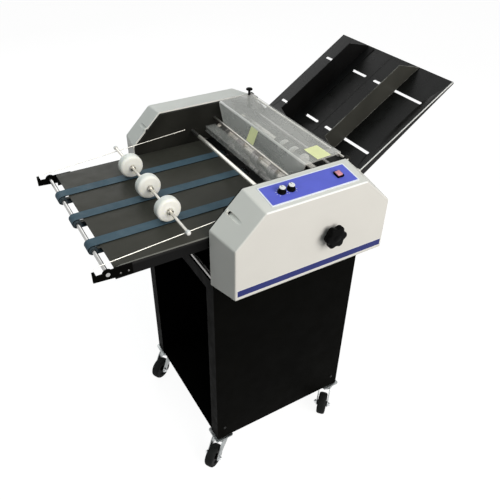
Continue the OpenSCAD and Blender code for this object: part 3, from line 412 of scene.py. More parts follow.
def copied(node, name):
    """A copy of a solid's mesh, merged and cleared of flat edges so that it can be worked."""
    source = NODES[node]
    obj = bpy.data.objects.new(name, source.data.copy())
    bpy.context.scene.collection.objects.link(obj)
    opened(outside(place(obj, source.matrix_world.copy())))
    bpy.ops.mesh.dissolve_limited(angle_limit=math.radians(0.5))
    return closed(obj)


def marked(obj, tone):
    """Keeps a tone on each face, worked out from its middle and its normal."""
    kept = obj.data.attributes.new("tone", "FLOAT", "FACE")
    kept.data.foreach_set("value", [tone(p.center, p.normal) for p in obj.data.polygons])
    return obj


def evened(obj):
    """Lets the large faces decide the shading round the small ones."""
    return modified(obj, "WEIGHTED_NORMAL", keep_sharp=True)


def done(obj, body, material, slot, *nodes, angle=35):
    """Shades a piece, gives it its finish and lets it ride on its body."""
    only(obj)
    bpy.ops.object.shade_smooth_by_angle(angle=math.radians(angle))
    obj.data.materials.clear()
    obj.data.materials.append(material)
    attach(obj, body)
    if nodes:
        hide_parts(*nodes)
    return obj


# Finishes

def blank(name):
    """An empty finish, with its tree and its shader."""
    mat = bpy.data.materials.new(name)
    mat.use_nodes = True
    tree = mat.node_tree
    return mat, tree, tree.nodes["Principled BSDF"]


def filled(tree, node, inputs):
    """Gives each named or numbered input of a node its link or its value."""
    for key, value in inputs.items():
        if isinstance(value, bpy.types.NodeSocket):
            tree.links.new(value, node.inputs[key])
        else:
            node.inputs[key].default_value = value
    return node


def added(tree, kind, inputs, **settings):
    """A new node with its settings and its inputs."""
    node = tree.nodes.new("ShaderNode" + kind)
    for name, value in settings.items():
        setattr(node, name, value)
    return filled(tree, node, inputs)


def grain(tree, scale, detail, stretch=(1, 1, 1)):
    """Noise in the piece's own space."""
    spot = added(tree, "TexCoord", {}).outputs["Object"]
    spot = added(tree, "Mapping", {"Vector": spot, "Scale": stretch}).outputs["Vector"]
    return added(tree, "TexNoise", {"Vector": spot, "Scale": scale, "Detail": detail}).outputs["Fac"]


def spread(tree, source, low, high, start=0.3, stop=0.7):
    """A number between low and high, from a noise or a mask."""
    ends = {"From Min": start, "From Max": stop, "To Min": low, "To Max": high}
    return added(tree, "MapRange", {"Value": source, **ends}).outputs["Result"]


def combined(tree, operation, first, second):
    """One number from two, such as their product or the larger one."""
    return added(tree, "Math", {0: first, 1: second}, operation=operation).outputs["Value"]


def shades(tree, source, *stops):
    """Colours along a noise or a tone, as pairs of place and colour."""
    node = tree.nodes.new("ShaderNodeValToRGB")
    ramp = node.color_ramp
    while len(ramp.elements) < len(stops):
        ramp.elements.new(0.5)
    for element, (spot, colour) in zip(ramp.elements, stops):
        element.position = spot
        element.color = (*colour, 1)
    tree.links.new(source, node.inputs["Fac"])
    return node.outputs["Color"]


def tinted(colour, factor):
    """A colour made darker or lighter."""
    return tuple(min(1, c * factor) for c in colour)


def mottled(tree, noise, colour, mottle):
    """A colour that wavers by a share of itself."""
    return shades(tree, noise, (0.3, tinted(colour, 1 - mottle)), (0.7, tinted(colour, 1 + mottle)))


def mixed(tree, factor, first, second):
    """Two colours mixed by a factor. A colour is a socket or three numbers."""
    first, second = (c if isinstance(c, bpy.types.NodeSocket) else (*c, 1) for c in (first, second))
    return added(tree, "Mix", {"Factor": factor, 6: first, 7: second}, data_type="RGBA").outputs[2]


def edges(tree, radius=0.0012):
    """A mask of the sharp edges: 1 on an edge and 0 on a flat face."""
    soft = added(tree, "Bevel", {"Radius": radius}, samples=4).outputs["Normal"]
    plain = added(tree, "NewGeometry", {}).outputs["Normal"]
    dot = added(tree, "VectorMath", {0: soft, 1: plain}, operation="DOT_PRODUCT").outputs["Value"]
    return spread(tree, dot, 1, 0, 0.86, 0.995)


def toned(tree):
    """The tone that marked() keeps on each face, and 0 where there is none."""
    return added(tree, "Attribute", {}, attribute_name="tone").outputs["Fac"]


def surfaced(tree, shader, base, rough, specular=0.5):
    """Gives a shader its colour and its roughness."""
    filled(tree, shader, {"Base Color": base, "Roughness": rough, "Specular IOR Level": specular})


def relief(tree, shader, source, strength, depth=0.0004):
    """Fine relief on a surface."""
    bump = added(tree, "Bump", {"Height": source, "Strength": strength, "Distance": depth})
    tree.links.new(bump.outputs["Normal"], shader.inputs["Normal"])


def painted(name, colour, rough, texture=1400, depth=0.25, mottle=0.12, specular=0.4, worn_and_highlit=None,
            worn_and_highlit_width=0.0012, painted_highlight=None):
    """Paint or powder coat, if wanted with lighter edges, partly rubbed and partly a painted highlight, or
    with a painted highlight on the marked faces.
    """
    mat, tree, shader = blank(name)
    base = mottled(tree, grain(tree, 9, 4), colour, mottle)
    # Lighter sharp edges: partly rubbed paint, partly a painted highlight.
    if worn_and_highlit:
        patchy = spread(tree, grain(tree, 60, 4), 0.1, 0.9, 0.35, 0.65)
        base = mixed(tree, combined(tree, "MULTIPLY", edges(tree, worn_and_highlit_width), patchy), base, worn_and_highlit)
    # The marked faces take a painted highlight colour.
    if painted_highlight:
        base = mixed(tree, toned(tree), base, painted_highlight)
    surfaced(tree, shader, base, spread(tree, grain(tree, 35, 5), rough - 0.07, rough + 0.07), specular)
    relief(tree, shader, grain(tree, texture, 2), depth)
    return mat


def coated(name, rough, specular, *stops):
    """Paint whose colour follows the tone kept on each face, so that the tones can carry a painted sheen,
    painted shade and painted highlights.
    """
    mat, tree, shader = blank(name)
    tones = shades(tree, toned(tree), *stops)
    base = mixed(tree, spread(tree, grain(tree, 9, 4), 0, 0.22), tones, (0, 0, 0))
    surfaced(tree, shader, base, spread(tree, grain(tree, 35, 5), rough - 0.07, rough + 0.07), specular)
    relief(tree, shader, grain(tree, 700, 2), 0.3)
    return mat


def bare_metal(name, colour, rough, closer, scale, mottle):
    """Bare or plated metal with fine marks, set closer along y where the metal is a turned bar."""
    mat, tree, shader = blank(name)
    marks = grain(tree, scale, 4, (1, closer, 1))
    surfaced(tree, shader, mottled(tree, grain(tree, 40, 4), colour, mottle),
             spread(tree, marks, rough - 0.08, rough + 0.12))
    relief(tree, shader, marks, 0.12, 0.0002)
    shader.inputs["Metallic"].default_value = 1
    return mat


def moulded(name, colour, rough, depth, mottle, specular, scatter=0.0):
    """Moulded plastic or film with a faint skin texture."""
    mat, tree, shader = blank(name)
    surfaced(tree, shader, mottled(tree, grain(tree, 30, 3), colour, mottle),
             spread(tree, grain(tree, 120, 4), rough - 0.06, rough + 0.08), specular)
    relief(tree, shader, grain(tree, 2200, 2), depth, 0.0002)
    if scatter:
        filled(tree, shader, {"Subsurface Weight": scatter, "Subsurface Radius": (0.004, 0.004, 0.003),
                              "Subsurface Scale": 1})
    return mat


def rubber(name, colour):
    """Dull rubber with dust in its texture."""
    mat, tree, shader = blank(name)
    dust = grain(tree, 55, 6)
    surfaced(tree, shader, shades(tree, dust, (0.42, colour), (0.75, tinted(colour, 2.6))),
             spread(tree, dust, 0.62, 0.82), 0.12)
    relief(tree, shader, grain(tree, 900, 3), 0.3)
    return mat


def woven(name, colour):
    """Belt fabric: a fine weave that shows through the coating, with painted shade on the marked faces."""
    mat, tree, shader = blank(name)
    spot = added(tree, "TexCoord", {}).outputs["Object"]
    threads = []
    for way in ("X", "Y"):
        wave = added(tree, "TexWave", {"Vector": spot, "Scale": 160, "Distortion": 1.2}, bands_direction=way)
        threads.append(wave.outputs["Fac"])
    weave = combined(tree, "MULTIPLY", *threads)
    cloth = mixed(tree, spread(tree, grain(tree, 24, 5), 0, 0.6), colour, tinted(colour, 1.35))
    cloth = mixed(tree, spread(tree, weave, 0, 0.25, 0, 1), cloth, tinted(colour, 0.7))
    # The marked faces, the belts' sides and their ends under the exit, take painted shade.
    cloth = mixed(tree, toned(tree), cloth, tinted(colour, 0.1))
    surfaced(tree, shader, cloth, spread(tree, grain(tree, 70, 4), 0.5, 0.72), 0.15)
    relief(tree, shader, weave, 0.25)
    return mat


def clear_sheet(name, low, high):
    """Clear acrylic, hazy partly with a grey tint and partly with a painted reflection of a bright surround,
    with smears and painted highlights on its edges and along its bend.
    """
    mat, tree, shader = blank(name)
    smear = grain(tree, 14, 6, (1, 0.4, 1))
    haze_and_painted_light = spread(tree, smear, low, high, 0.35, 0.7)
    # The edges and the marked bend grow paler and more opaque: painted highlights.
    for mask, most in ((edges(tree), 0.32), (toned(tree), 0.68)):
        haze_and_painted_light = combined(tree, "MAXIMUM", haze_and_painted_light, spread(tree, mask, 0, most, 0, 1))
    tree.links.new(haze_and_painted_light, shader.inputs["Alpha"])
    surfaced(tree, shader, shades(tree, smear, (0.3, (0.82, 0.81, 0.77)), (0.8, (0.90, 0.88, 0.84))),
             spread(tree, smear, 0.04, 0.16, 0.35, 0.75))
    return mat


def recipes(c):
    """How each finish is made: its maker, and the settings in the order that the maker takes them."""
    return {
        # Colour, roughness, texture's scale, relief, mottle, specular, edge colour (partly rubbed, partly a
        # painted highlight), its width, painted highlight on the marked faces
        "cover_grey": (painted, c.cover, 0.45, 900, 0.12, 0.02, 0.12, None, 0, (0.92, 0.92, 0.91)),
        "black_paint": (painted, c.black, 0.55, 1100, 0.3, 0.25, 0.012, (0.010, 0.010, 0.0095)),
        "frame_black": (painted, c.frame, 0.5, 1100, 0.3, 0.35, 0.05, (0.05, 0.05, 0.048)),
        "tray_black": (painted, c.tray, 0.3, 900, 0.25, 0.2, 0.19, (0.05, 0.05, 0.045)),
        # The two guides are one part: the far one near black as painted shade, the near one grey with light
        # edges as painted light
        "guide_dark": (painted, (0.004, 0.004, 0.004), 0.45, 900, 0.25, 0.2, 0.06, (0.02, 0.02, 0.02)),
        "guide_black": (painted, c.guide, 0.42, 900, 0.25, 0.2, 0.08, (0.3, 0.3, 0.28), 0.003),
        # A light strip that paints the highlight along the tray's folded edge
        "bare_edge": (painted, (0.72, 0.72, 0.70), 0.3, 700, 0.1, 0.1),
        "motor_paint": (painted, (0.10, 0.11, 0.12), 0.45),
        "board_green": (painted, (0.02, 0.12, 0.05), 0.4, 500, 0.3, 0.25),
        # Roughness and specular, then the tones and colours of the top (a painted sheen), the dark parts
        # (black, with painted shade under the exit) and the sides (a painted highlight)
        "table_grey": (coated, 0.45, 0.08,
                       (0, c.table), (0.5, (0.003, 0.003, 0.003)), (1, (0.2, 0.2, 0.18))),
        # Colour, roughness, how much closer the marks are along y, their scale, mottle
        "zinc": (bare_metal, (0.36, 0.38, 0.38), 0.3, 1, 260, 0.3),
        "black_oxide": (bare_metal, (0.03, 0.03, 0.03), 0.4, 1, 260, 0.2),
        "steel": (bare_metal, (0.34, 0.33, 0.32), 0.32, 30, 60, 0.15),
        "dull_steel": (bare_metal, (0.16, 0.155, 0.15), 0.4, 1, 260, 0.2),
        "bright_steel": (bare_metal, (0.42, 0.42, 0.41), 0.2, 20, 60, 0.15),
        "nickel": (bare_metal, (0.62, 0.60, 0.55), 0.3, 30, 60, 0.12),
        "chrome": (bare_metal, (0.66, 0.67, 0.68), 0.2, 20, 60, 0.1),
        "white_bar": (bare_metal, (0.90, 0.88, 0.80), 0.4, 20, 60, 0.05),
        # Colour, roughness, relief, mottle, specular, light scattered under the skin
        "black_plastic": (moulded, (0.002, 0.002, 0.002), 0.35, 0.2, 0.06, 0.03),
        "pulley_slate": (moulded, (0.03, 0.045, 0.055), 0.4, 0.15, 0.06, 0.2),
        "ivory_plastic": (moulded, c.ivory, 0.4, 0.08, 0.03, 0.3, 0.15),
        "panel_film": (moulded, c.panel, 0.36, 0.15, 0.05, 0.15),
        "stripe_film": (moulded, c.stripe, 0.36, 0.15, 0.05, 0.1),
        "white_film": (moulded, (0.84, 0.84, 0.83), 0.36, 0.1, 0.03, 0.3),
        "panel_white": (moulded, (0.88, 0.90, 1.0), 0.36, 0.1, 0.02, 0.3),
        "patch_film": (moulded, c.patch, 0.4, 0.12, 0.05, 0.3),
        "switch_red": (moulded, c.rocker, 0.25, 0.05, 0.05, 0.4, 0.2),
        # Colour
        "tyre_rubber": (rubber, (0.006, 0.0065, 0.0065)),
        "belt_rubber": (woven, c.belt),
        # Least and most veil: partly a grey tint, partly a painted reflection
        "clear_acrylic": (clear_sheet, 0.27, 0.345),
        "clear_strip": (clear_sheet, 0.12, 0.24),
    }


class Finishes:
    """The machine's finishes, each made when it is first asked for."""

    made = {}

    def __getattr__(self, name):
        if name not in self.made:
            maker, *settings = recipes(bpy.context.scene.creaser_colours)[name]
            self.made[name] = maker(name, *settings)
        return self.made[name]


finish = Finishes()

CARRIED = {
    "black_paint": ("near_panel", "far_panel", "base_and_back", "top_plate", "feed_plate", "roller_brackets"),
    "frame_black": ("near_side_frame", "far_side_frame"),
    "guide_dark": ("left_guide",),
    "guide_black": ("right_guide",),
    "steel": ("lower_shaft", "crease_dies", "crease_blades", "drive_roller", "lower_gear",
              "upper_gear", "shaft_bearings", "tie_rods", "separator", "guard_clips"),
    "nickel": ("feed_shaft", "guard_rods", "upper_shaft", "guide_wires"),
    "bright_steel": ("front_shaft",),
    "pulley_slate": ("front_pulleys",),
    "clear_strip": ("exit_guide",),
    "black_plastic": ("power_inlet",),
    "tyre_rubber": ("drive_belts",),
    "motor_paint": ("gear_motor",),
    "board_green": ("control_board",),
}


class CREASER_OT_finishes(bpy.types.Operator):
    """Give the machine's carried-over solids their finishes"""

    bl_idname = "creaser.finishes"
    bl_label = "Finishes"

    def execute(self, context):
        for name, nodes in CARRIED.items():
            for node in nodes:
                mesh = NODES[node].data
                mesh.materials.clear()
                mesh.materials.append(getattr(finish, name))
        return {"FINISHED"}


# End covers

def cover_rim(s):
    """Rim outline of a cover, counter-clockwise from its lower front corner, as x and z."""
    low, high = COVER_LOW, COVER_HIGH
    return [(low.x, low.z), (high.x, low.z), (high.x, high.z - s.rear_rise), (high.x - s.rear_run, high.z),
            (low.x + s.front_run, high.z), (low.x, high.z - s.front_rise)]


def chamfer_spots(s, depth):
    """The places at a depth under the middles of the chamfers."""
    rim = [Vector(p) for p in cover_rim(s)]
    spots = []
    for a, b in ((rim[2], rim[3]), (rim[4], rim[5])):
        way = (b - a).normalized()
        spots.append((a + b) / 2 + Vector((-way.y, way.x)) * depth)
    return spots


def cover_skin(s):
    """The near cover's skin, open at its rim, with rounded edges and scooped screw recesses."""
    low, high = COVER_LOW, COVER_HIGH
    rim = cover_rim(s)
    skin = plate("near_cover_shell", [(x, high.y, z) for x, z in rim], (0, low.y - high.y, 0))
    for (x, z), (u, w) in zip(rim, inset(rim, s.draft)):
        corner = Vector((x, low.y, z))
        shape(skin, "VERT", lambda p: (p - corner).length < TOUCH, bpy.ops.transform.translate,
              value=(u - x, 0, w - z))
    shape(skin, "EDGE", lambda a, b: min(a.y, b.y) < low.y + TOUCH, bpy.ops.mesh.bevel,
          offset=s.edge, offset_type="OFFSET", segments=5, affect="EDGES", clamp_overlap=True)
    past_face, overlap = 0.11, 0.0005
    for depth, radius, start, end in ((s.scoop_inset, s.scoop, past_face, s.scoop_end),
                                      (s.screw_inset, s.bore, s.scoop_end + overlap, s.seat)):
        for x, z in chamfer_spots(s, depth):
            cut(skin, drum("scoop", radius, -start, -end, (x, high.y, z), Y))
    return shape(skin, "FACE", lambda p, n: n.y > 0.9 and p.y > high.y - TOUCH, bpy.ops.mesh.delete,
                 type="FACE")


def top_edge_highlight(p, n):
    """1 on the rounded edge along a cover's top, which takes a painted highlight, and 0 elsewhere."""
    return float(0.3 < abs(n.y) < 0.93 and n.z > 0.2 and abs(n.x) < 0.2)


class CREASER_OT_covers(bpy.types.Operator):
    """Build the two drafted end covers and the near one's stripe"""

    bl_idname = "creaser.covers"
    bl_label = "End covers"

    def execute(self, context):
        s = context.scene.creaser_covers
        near = cover_skin(s)
        mirror = Matrix.Translation((0, 2 * MID_Y, 0)) @ Matrix.Scale(-1, 4, Y)
        far = outside(twin(near, "far_cover_shell", mirror))
        thicken(near, s.wall)
        thicken(far, s.wall)
        shaft = (LOWER_AXIS.x, COVER_LOW.y, LOWER_AXIS.z)
        cut(near, drum("bore", s.shaft_hole, -THROUGH, THROUGH, shaft, Y))
        cut(near, switch_opening(context.scene.creaser_controls))
        low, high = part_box("power_inlet")
        lip = Vector((0, 0.003, 0.003))
        cut(far, block("opening", low + lip - X * THROUGH / 2, high - lip + X * THROUGH))
        for shell, node in ((near, "near_cover"), (far, "far_cover")):
            # The rounded top edge is marked for a painted highlight.
            marked(shell, top_edge_highlight)
            evened(done(shell, "machine", finish.cover_grey, "cover_grey", node, angle=30))
        self.stripe(s)
        return {"FINISHED"}

    def stripe(self, s):
        """The blue stripe and the white line round it, low on the near cover's outer face."""
        face = COVER_LOW.y
        margin = s.draft + s.edge + 0.001
        left, right = COVER_LOW.x + margin, COVER_HIGH.x - margin
        low, high = COVER_LOW.z + s.stripe_low, COVER_LOW.z + s.stripe_high
        for name, edge, proud, film in (("stripe_border", 0.0, 0.0002, finish.white_film),
                                        ("stripe", s.stripe_line, 0.0004, finish.stripe_film)):
            strip = block(name, (left + edge, face - proud, low + edge), (right - edge, face, high - edge))
            done(bevel(strip, FILM_EDGE, 1), "machine", film, "panel_film")


# Controls

def panel_frame(x):
    """The control panel's own frame at a place along it: x along it, y up its slope, z off its face."""
    knob = JOINTS["speed_front_turn"]
    normal = Vector(knob["axis"])
    pivot_height = 0.0038
    top = Vector(knob["pos_m"]) - normal * pivot_height
    turn = Matrix.Rotation(math.atan2(-normal.y, normal.z), 4, "X")
    return Matrix.Translation((x, top.y, top.z)) @ turn


def switch_opening(s):
    """A tool that cuts the switch's opening, a little smaller than its bezel."""
    lap = 0.0004
    half = Vector((s.switch_x - lap, s.switch_y - lap, THROUGH))
    return place(block("opening", -half, half), panel_frame(SWITCH_X))


class CREASER_OT_controls(bpy.types.Operator):
    """Build the panel's face, the speed knobs with their scales, and the rocker switch"""

    bl_idname = "creaser.controls"
    bl_label = "Controls"

    def execute(self, context):
        s = context.scene.creaser_controls
        self.face(s)
        for node, body in (("speed_knob_front", "speed_front"), ("speed_knob_rear", "speed_rear")):
            self.knob(s, node, body)
        self.switch(s)
        return {"FINISHED"}

    def face(self, s):
        """The panel's white plate and the blue film on it, with the switch's opening."""
        shift, corner = 0.0015, 0.0012
        at = panel_frame(PANEL_X - shift)
        for name, edge, low, high, film, nodes in (
                ("panel_plate", s.border, -0.0012, 0, finish.panel_white, ("control_panel",)),
                ("panel_face", 0, 0, 0.00015, finish.panel_film, ())):
            half = Vector((s.face_x + edge, s.face_y + edge, 0))
            sheet = rounded(block(name, -half + Z * low, half + Z * high), corner + edge / 2, 4)
            cut(place(sheet, at), switch_opening(s))
            done(sheet, "machine", film, "panel_film", *nodes)

    def knob(self, s, node, body):
        """A fluted knob with a white cap, and its scale on the panel."""
        at = panel_frame(span(node)[2].x)
        r, h = s.knob, s.knob_height
        outline = profile([(0, 0.4)])
        outline += profile([(-0.4, 0.4), (0, 0.9), (0, 3.6), (-1.4, 4.5), (-1.7, 5.2)], r)
        outline += profile([(-2.4, -1.2), (-3.4, 0)], r, h) + [(0, h)]
        grip = lathe(node + "_grip", outline, steps=2 * s.flutes)
        step = math.tau / s.flutes
        shape(grip, "VERT", lambda p: p.z > 0.005 and math.hypot(p.x, p.y) > r - 0.003
              and abs((math.atan2(p.y, p.x) / step + 0.25) % 1 - 0.25) < 0.2,
              bpy.ops.transform.resize, value=(0.93, 0.93, 1), center_override=(0, 0, 0))
        done(place(bevel(grip, 0.0002, 2, 40), at), body, finish.black_plastic, "black_plastic", node)
        side = profile([(0, -0.5), (0, 0.4), (-0.6, 0.9)], s.cap, h)
        cap = lathe(node + "_cap", [(0, side[0][1]), *side, (0, h + 0.0011)], steps=40)
        done(place(cap, at), body, finish.white_film, "ivory_plastic")
        line = 0.0005
        pointer = block(node + "_pointer", (-line, 0.001, h + 0.0006), (line, s.cap - 0.0004, h + 0.0013))
        done(place(bevel(pointer, FILM_EDGE, 1), at), body, finish.black_plastic, "black_plastic")
        tick = bevel(block("tick", (-line, r + 0.0016, 0), (line, r + 0.0046, 0.0003)), FILM_EDGE / 2, 1)
        sweep = math.radians(270)
        turns = [sweep * (i / (s.ticks - 1) - 0.5) for i in range(s.ticks)]
        marks = copies(tick, "mark", [at @ Matrix.Rotation(turn, 4, "Z") for turn in turns])
        done(joined(node + "_scale", marks), "machine", finish.white_film, "panel_film")

    def switch(self, s):
        """The black bezel and the red rocker in it."""
        at = panel_frame(SWITCH_X)
        half = Vector((s.switch_x, s.switch_y, 0))
        wall, well = Vector((0.002, 0.002, 0)), Z * 0.010
        bezel = block("switch_frame", -half - Z * 0.012, half + Z * 0.0055)
        cut(bezel, block("well", wall - half - well, half - wall + well))
        shape(bezel, "FACE", lambda p, n: n.z < -0.9 and p.z < -0.011, bpy.ops.transform.resize,
              value=(0.84, 0.8, 1), center_override=(0, 0, 0))
        done(place(bevel(bezel, MOULD_EDGE, 3), at), "machine", finish.black_plastic, "black_plastic",
             "switch_bezel")
        long, wide = half.x - 0.0029, half.y - 0.0025
        foot, crest, dip = -0.004, 0.0082, 0.0070
        outline = [(-long, foot), (long, foot), (long, crest), (0, dip), (-long, crest)]
        rocker = plate("rocker_paddle", [(x, -wide, z) for x, z in outline], (0, 2 * wide, 0))
        tilt = Matrix.Rotation(math.radians(-8), 4, "Y")
        done(place(bevel(rocker, MOULD_EDGE, 3, 12), at @ tilt), "rocker", finish.switch_red, "switch_red",
             "power_rocker")


class CREASER_OT_hand_knob(bpy.types.Operator):
    """Build the lobed hand knob on the lower crease shaft"""

    bl_idname = "creaser.hand_knob"
    bl_label = "Hand knob"

    def execute(self, context):
        s = context.scene.creaser_controls
        low, high, middle = span("hand_knob")
        centre = Vector((middle.x, low.y, middle.z))
        radius = (high.z - low.z) / 2 + 0.0035
        steps = 12 * s.lobes
        outline = []
        for i in range(steps):
            a = i * math.tau / steps
            r = radius - s.lobe_depth * (0.5 - 0.5 * math.cos(s.lobes * a)) ** 1.4
            outline.append(centre + Vector((r * math.cos(a), s.star, r * math.sin(a))))
        star = bevel(plate("hand_knob_star", outline, (0, -s.star, 0)), 0.0045, 4, 40)
        cut(star, drum("socket", 0.0098, 0.008, 0.038, centre, Y))
        collar = profile([(10.1, 0), (16, 0), (15, 6), (14.6, 7.8), (10.1, 7.9)], height=s.star + FILM_EDGE)
        hub = lathe("hand_knob_hub", collar, centre, Y, 40)
        disc = profile([(0, -0.8), (9, -0.8), (10.2, -0.2), (10.2, 0.6), (0, 0.6)])
        cap = lathe("hand_knob_cap", disc, centre, Y, 40)
        done(star, "lower_crease", finish.black_plastic, "black_plastic", "hand_knob")
        done(hub, "lower_crease", finish.black_plastic, "black_plastic")
        done(cap, "lower_crease", finish.black_plastic, "black_plastic")
        return {"FINISHED"}


# Casters

def hexagon(name, across, low, high):
    """A hexagon nut or bolt head with chamfered corners, standing on z."""
    corners = arc(across / math.sqrt(3), range(0, 360, 60))
    return bevel(plate(name, [(x, y, low) for x, y in corners], (0, 0, high - low)), METAL_EDGE, 2)


class CREASER_OT_casters(bpy.types.Operator):
    """Build the four swivel casters: plates, forks, hubs and tyres"""

    bl_idname = "creaser.casters"
    bl_label = "Casters"

    def execute(self, context):
        s = context.scene.creaser_casters
        fork, tyre, hub, nuts = self.fork(s), self.tyre(s), self.hub(s), self.nuts(s)
        spots = [self.at(name) for name in CASTERS]
        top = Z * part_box("caster_plates")[1].z
        plates = copies(self.plate(s), "plate", [Matrix.Translation(at.translation + top) for at in spots])
        for name, at in zip(CASTERS, spots):
            body, tread, wheel = "caster_" + name, "tread_" + name, "wheel_" + name
            done(twin(fork, "fork_arms_" + name, at), body, finish.zinc, "zinc", "fork_" + name)
            done(twin(nuts, "axle_nuts_" + name, at), body, finish.chrome, "zinc")
            done(twin(hub, "hub_" + name, at), tread, finish.black_plastic, "black_plastic", wheel)
            done(twin(tyre, "tyre_" + name, at), tread, finish.tyre_rubber, "black_rubber", wheel)
        for model in (fork, tyre, hub, nuts):
            bpy.data.objects.remove(model)
        done(joined("mounting_plates", plates), "machine", finish.zinc, "zinc", "caster_plates")
        return {"FINISHED"}

    def at(self, name):
        """A caster's frame on the floor under its swivel pin, with x the way its wheel trails."""
        pin = Vector(JOINTS["swivel_" + name]["pos_m"])
        way = span("wheel_" + name)[2] - pin
        return Matrix.Translation((pin.x, pin.y, 0)) @ Matrix.Rotation(math.atan2(way.y, way.x), 4, "Z")

    def axle(self, s, side=-1):
        """Lays what was modelled upright along the axle, towards one side."""
        return Matrix.Translation((s.trail, 0, s.tyre)) @ Matrix.Rotation(-side * math.pi / 2, 4, "X")

    def plate(self, s):
        """A mounting plate with its raceway, swivel rivet and four bolts, hung from z = 0."""
        half = Vector((s.plate / 2, s.plate / 2, 0))
        low, reach = -s.steel, s.bolt_reach
        sheet = bevel(rounded(block("sheet", -half + Z * low, half), 0.007, 5), METAL_EDGE, 2)
        race = lathe("race", profile([
            (0, 0), (21, 0), (23, -1), (23, -3.2), (21.2, -4), (21.2, -4.6), (23, -5.2), (23, -7.2),
            (20.5, -8), (0, -8)], height=low))
        rivet = lathe("rivet", profile([
            (0, -8), (5, -8), (5, -12), (8, -12), (8, -14), (6, -15.8), (0, -16)], height=low))
        bolts = copies(hexagon("bolt", 0.010, low - 0.0045, low), "bolt",
                       [Matrix.Translation((x, y, 0)) for x in (-reach, reach) for y in (-reach, reach)])
        return joined("caster_plate", [sheet, race, rivet, *bolts])

    def fork(self, s):
        """A pressed fork: a crowned top and two cheeks that reach back to the axle."""
        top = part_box("fork_near_front")[1].z
        gap = s.width / 2 + s.play
        section = profile([(5.2, 0), (21, 0), (23.5, -0.8), (24.2, -2.2), (24.2, -8.5), (22, -8.5)], 0, top)
        section += profile([(21.6, 0), (5.2, 0)], 0, top - s.steel) + [section[0]]
        crown = lathe("crown", section)
        outline = profile([(-16, -1), (18, -1), (30, -12)], 0, top) + profile([(9.8, 6)], s.trail, s.tyre)
        outline += arc(0.011, range(20, -161, -20), s.trail, s.tyre)
        outline += profile([(-18, 6)], s.trail, s.tyre) + profile([(-12, -22), (-16, -16)], 0, top)
        cheeks = []
        for side in (-1, 1):
            cheek = plate("cheek", [(x, side * gap, z) for x, z in outline], (0, side * s.steel, 0))
            cheeks.append(bevel(cheek, 0.0008, 2))
        return joined("caster_fork", [crown, *cheeks])

    def nuts(self, s):
        """The axle bolt's head and nut, on washers."""
        face = s.width / 2 + s.play + s.steel
        seat = face + 0.001
        parts = []
        for side in (-1, 1):
            washer = drum("washer", 0.0085, face, seat, steps=48)
            nut = hexagon("nut", 0.0125, seat, face + 0.0062)
            tip = lathe("tip", profile([(0, 6), (3.6, 6), (3.6, 8.2), (3, 9), (0, 9)], height=face), steps=24)
            parts += [place(p, self.axle(s, side)) for p in (washer, nut, tip)]
        return joined("axle_nuts", parts)

    def tyre(self, s):
        """A tyre with a rounded tread, modelled about its axle."""
        low = -s.width / 2
        half = profile([(0, 1)], s.tyre - s.rubber, low)
        half += profile([(-7.5, 0), (-4, 0.6), (-1.5, 2.8), (-0.3, 6.2), (0, 10)], s.tyre, low)
        return place(lathe("caster_tyre", mirrored(half), steps=64), self.axle(s))

    def hub(self, s):
        """A wheel core with a dished web, modelled about its axle."""
        high = s.width / 2
        half = profile([(4.1, 2.6), (8.5, 2.6), (9.2, 1.6), (9.6, -4)], 0, high)
        half += profile([(-8, -4.5), (-4, -3.5), (-2, -0.8), (0, -1)], s.tyre - s.rubber, high)
        return place(lathe("caster_hub", mirrored(half), steps=64), self.axle(s))


# Screws

class CREASER_OT_screws(bpy.types.Operator):
    """Build the cross-recessed screws and put one in every screw hole"""

    bl_idname = "creaser.screws"
    bl_label = "Screws"

    def execute(self, context):
        head = lathe("screw", profile([
            (0, -9), (2.4, -9), (2.4, 0), (4.5, 0), (4.5, 0.9), (4.1, 1.7), (3, 2.4), (1.5, 2.7),
            (0, 2.8)]), steps=28)
        long, wide, floor, above = 0.0022, 0.0004, 0.0012, 0.004
        for x, y in ((long, wide), (wide, long)):
            cut(head, block("slot", (-x, -y, floor), (x, y, above)))
        dark, bright = [], []
        step, small = 0.7, 0.55
        for i, (point, way, group) in enumerate(self.spots(context.scene.creaser_covers, dark, bright)):
            turn = way.to_track_quat("Z", "Y").to_matrix().to_4x4() @ Matrix.Rotation(i * step, 4, "Z")
            size = Matrix.Scale(small if group is bright else 1, 4)
            group.append(twin(head, "screw", Matrix.Translation(point) @ turn @ size))
        bpy.data.objects.remove(head)
        done(joined("screw_set", dark), "machine", finish.black_oxide, "zinc", "screws")
        done(joined("bracket_screws", bright), "machine", finish.dull_steel, "zinc", "screws")
        return {"FINISHED"}

    def spots(self, s, dark, bright):
        """Every screw's place, the way its head faces, and the group that it belongs to."""
        low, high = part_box("near_panel")
        bracket, _, bracket_middle = span("roller_brackets")
        near = []
        for x in (low.x + 0.025, high.x - 0.025):
            for z in (low.z + 0.045, high.z - 0.023):
                near.append((Vector((x, low.y, z)), -Y, dark))
        for x in (0.061, 0.079):
            near.append((Vector((bracket.x + x, bracket.y, bracket_middle.z - 0.0055)), -Y, bright))
        for x, z in chamfer_spots(s, s.screw_inset):
            near.append((Vector((x, COVER_HIGH.y - s.seat, z)), -Y, dark))
        for x in (0.012, 0.045):
            near.append((tray_frame() @ Vector((x, 0.002, -0.010)), Y, dark))
        far = [(Vector((p.x, 2 * MID_Y - p.y, p.z)), -way, group) for p, way, group in near]
        return near + far


# Guard

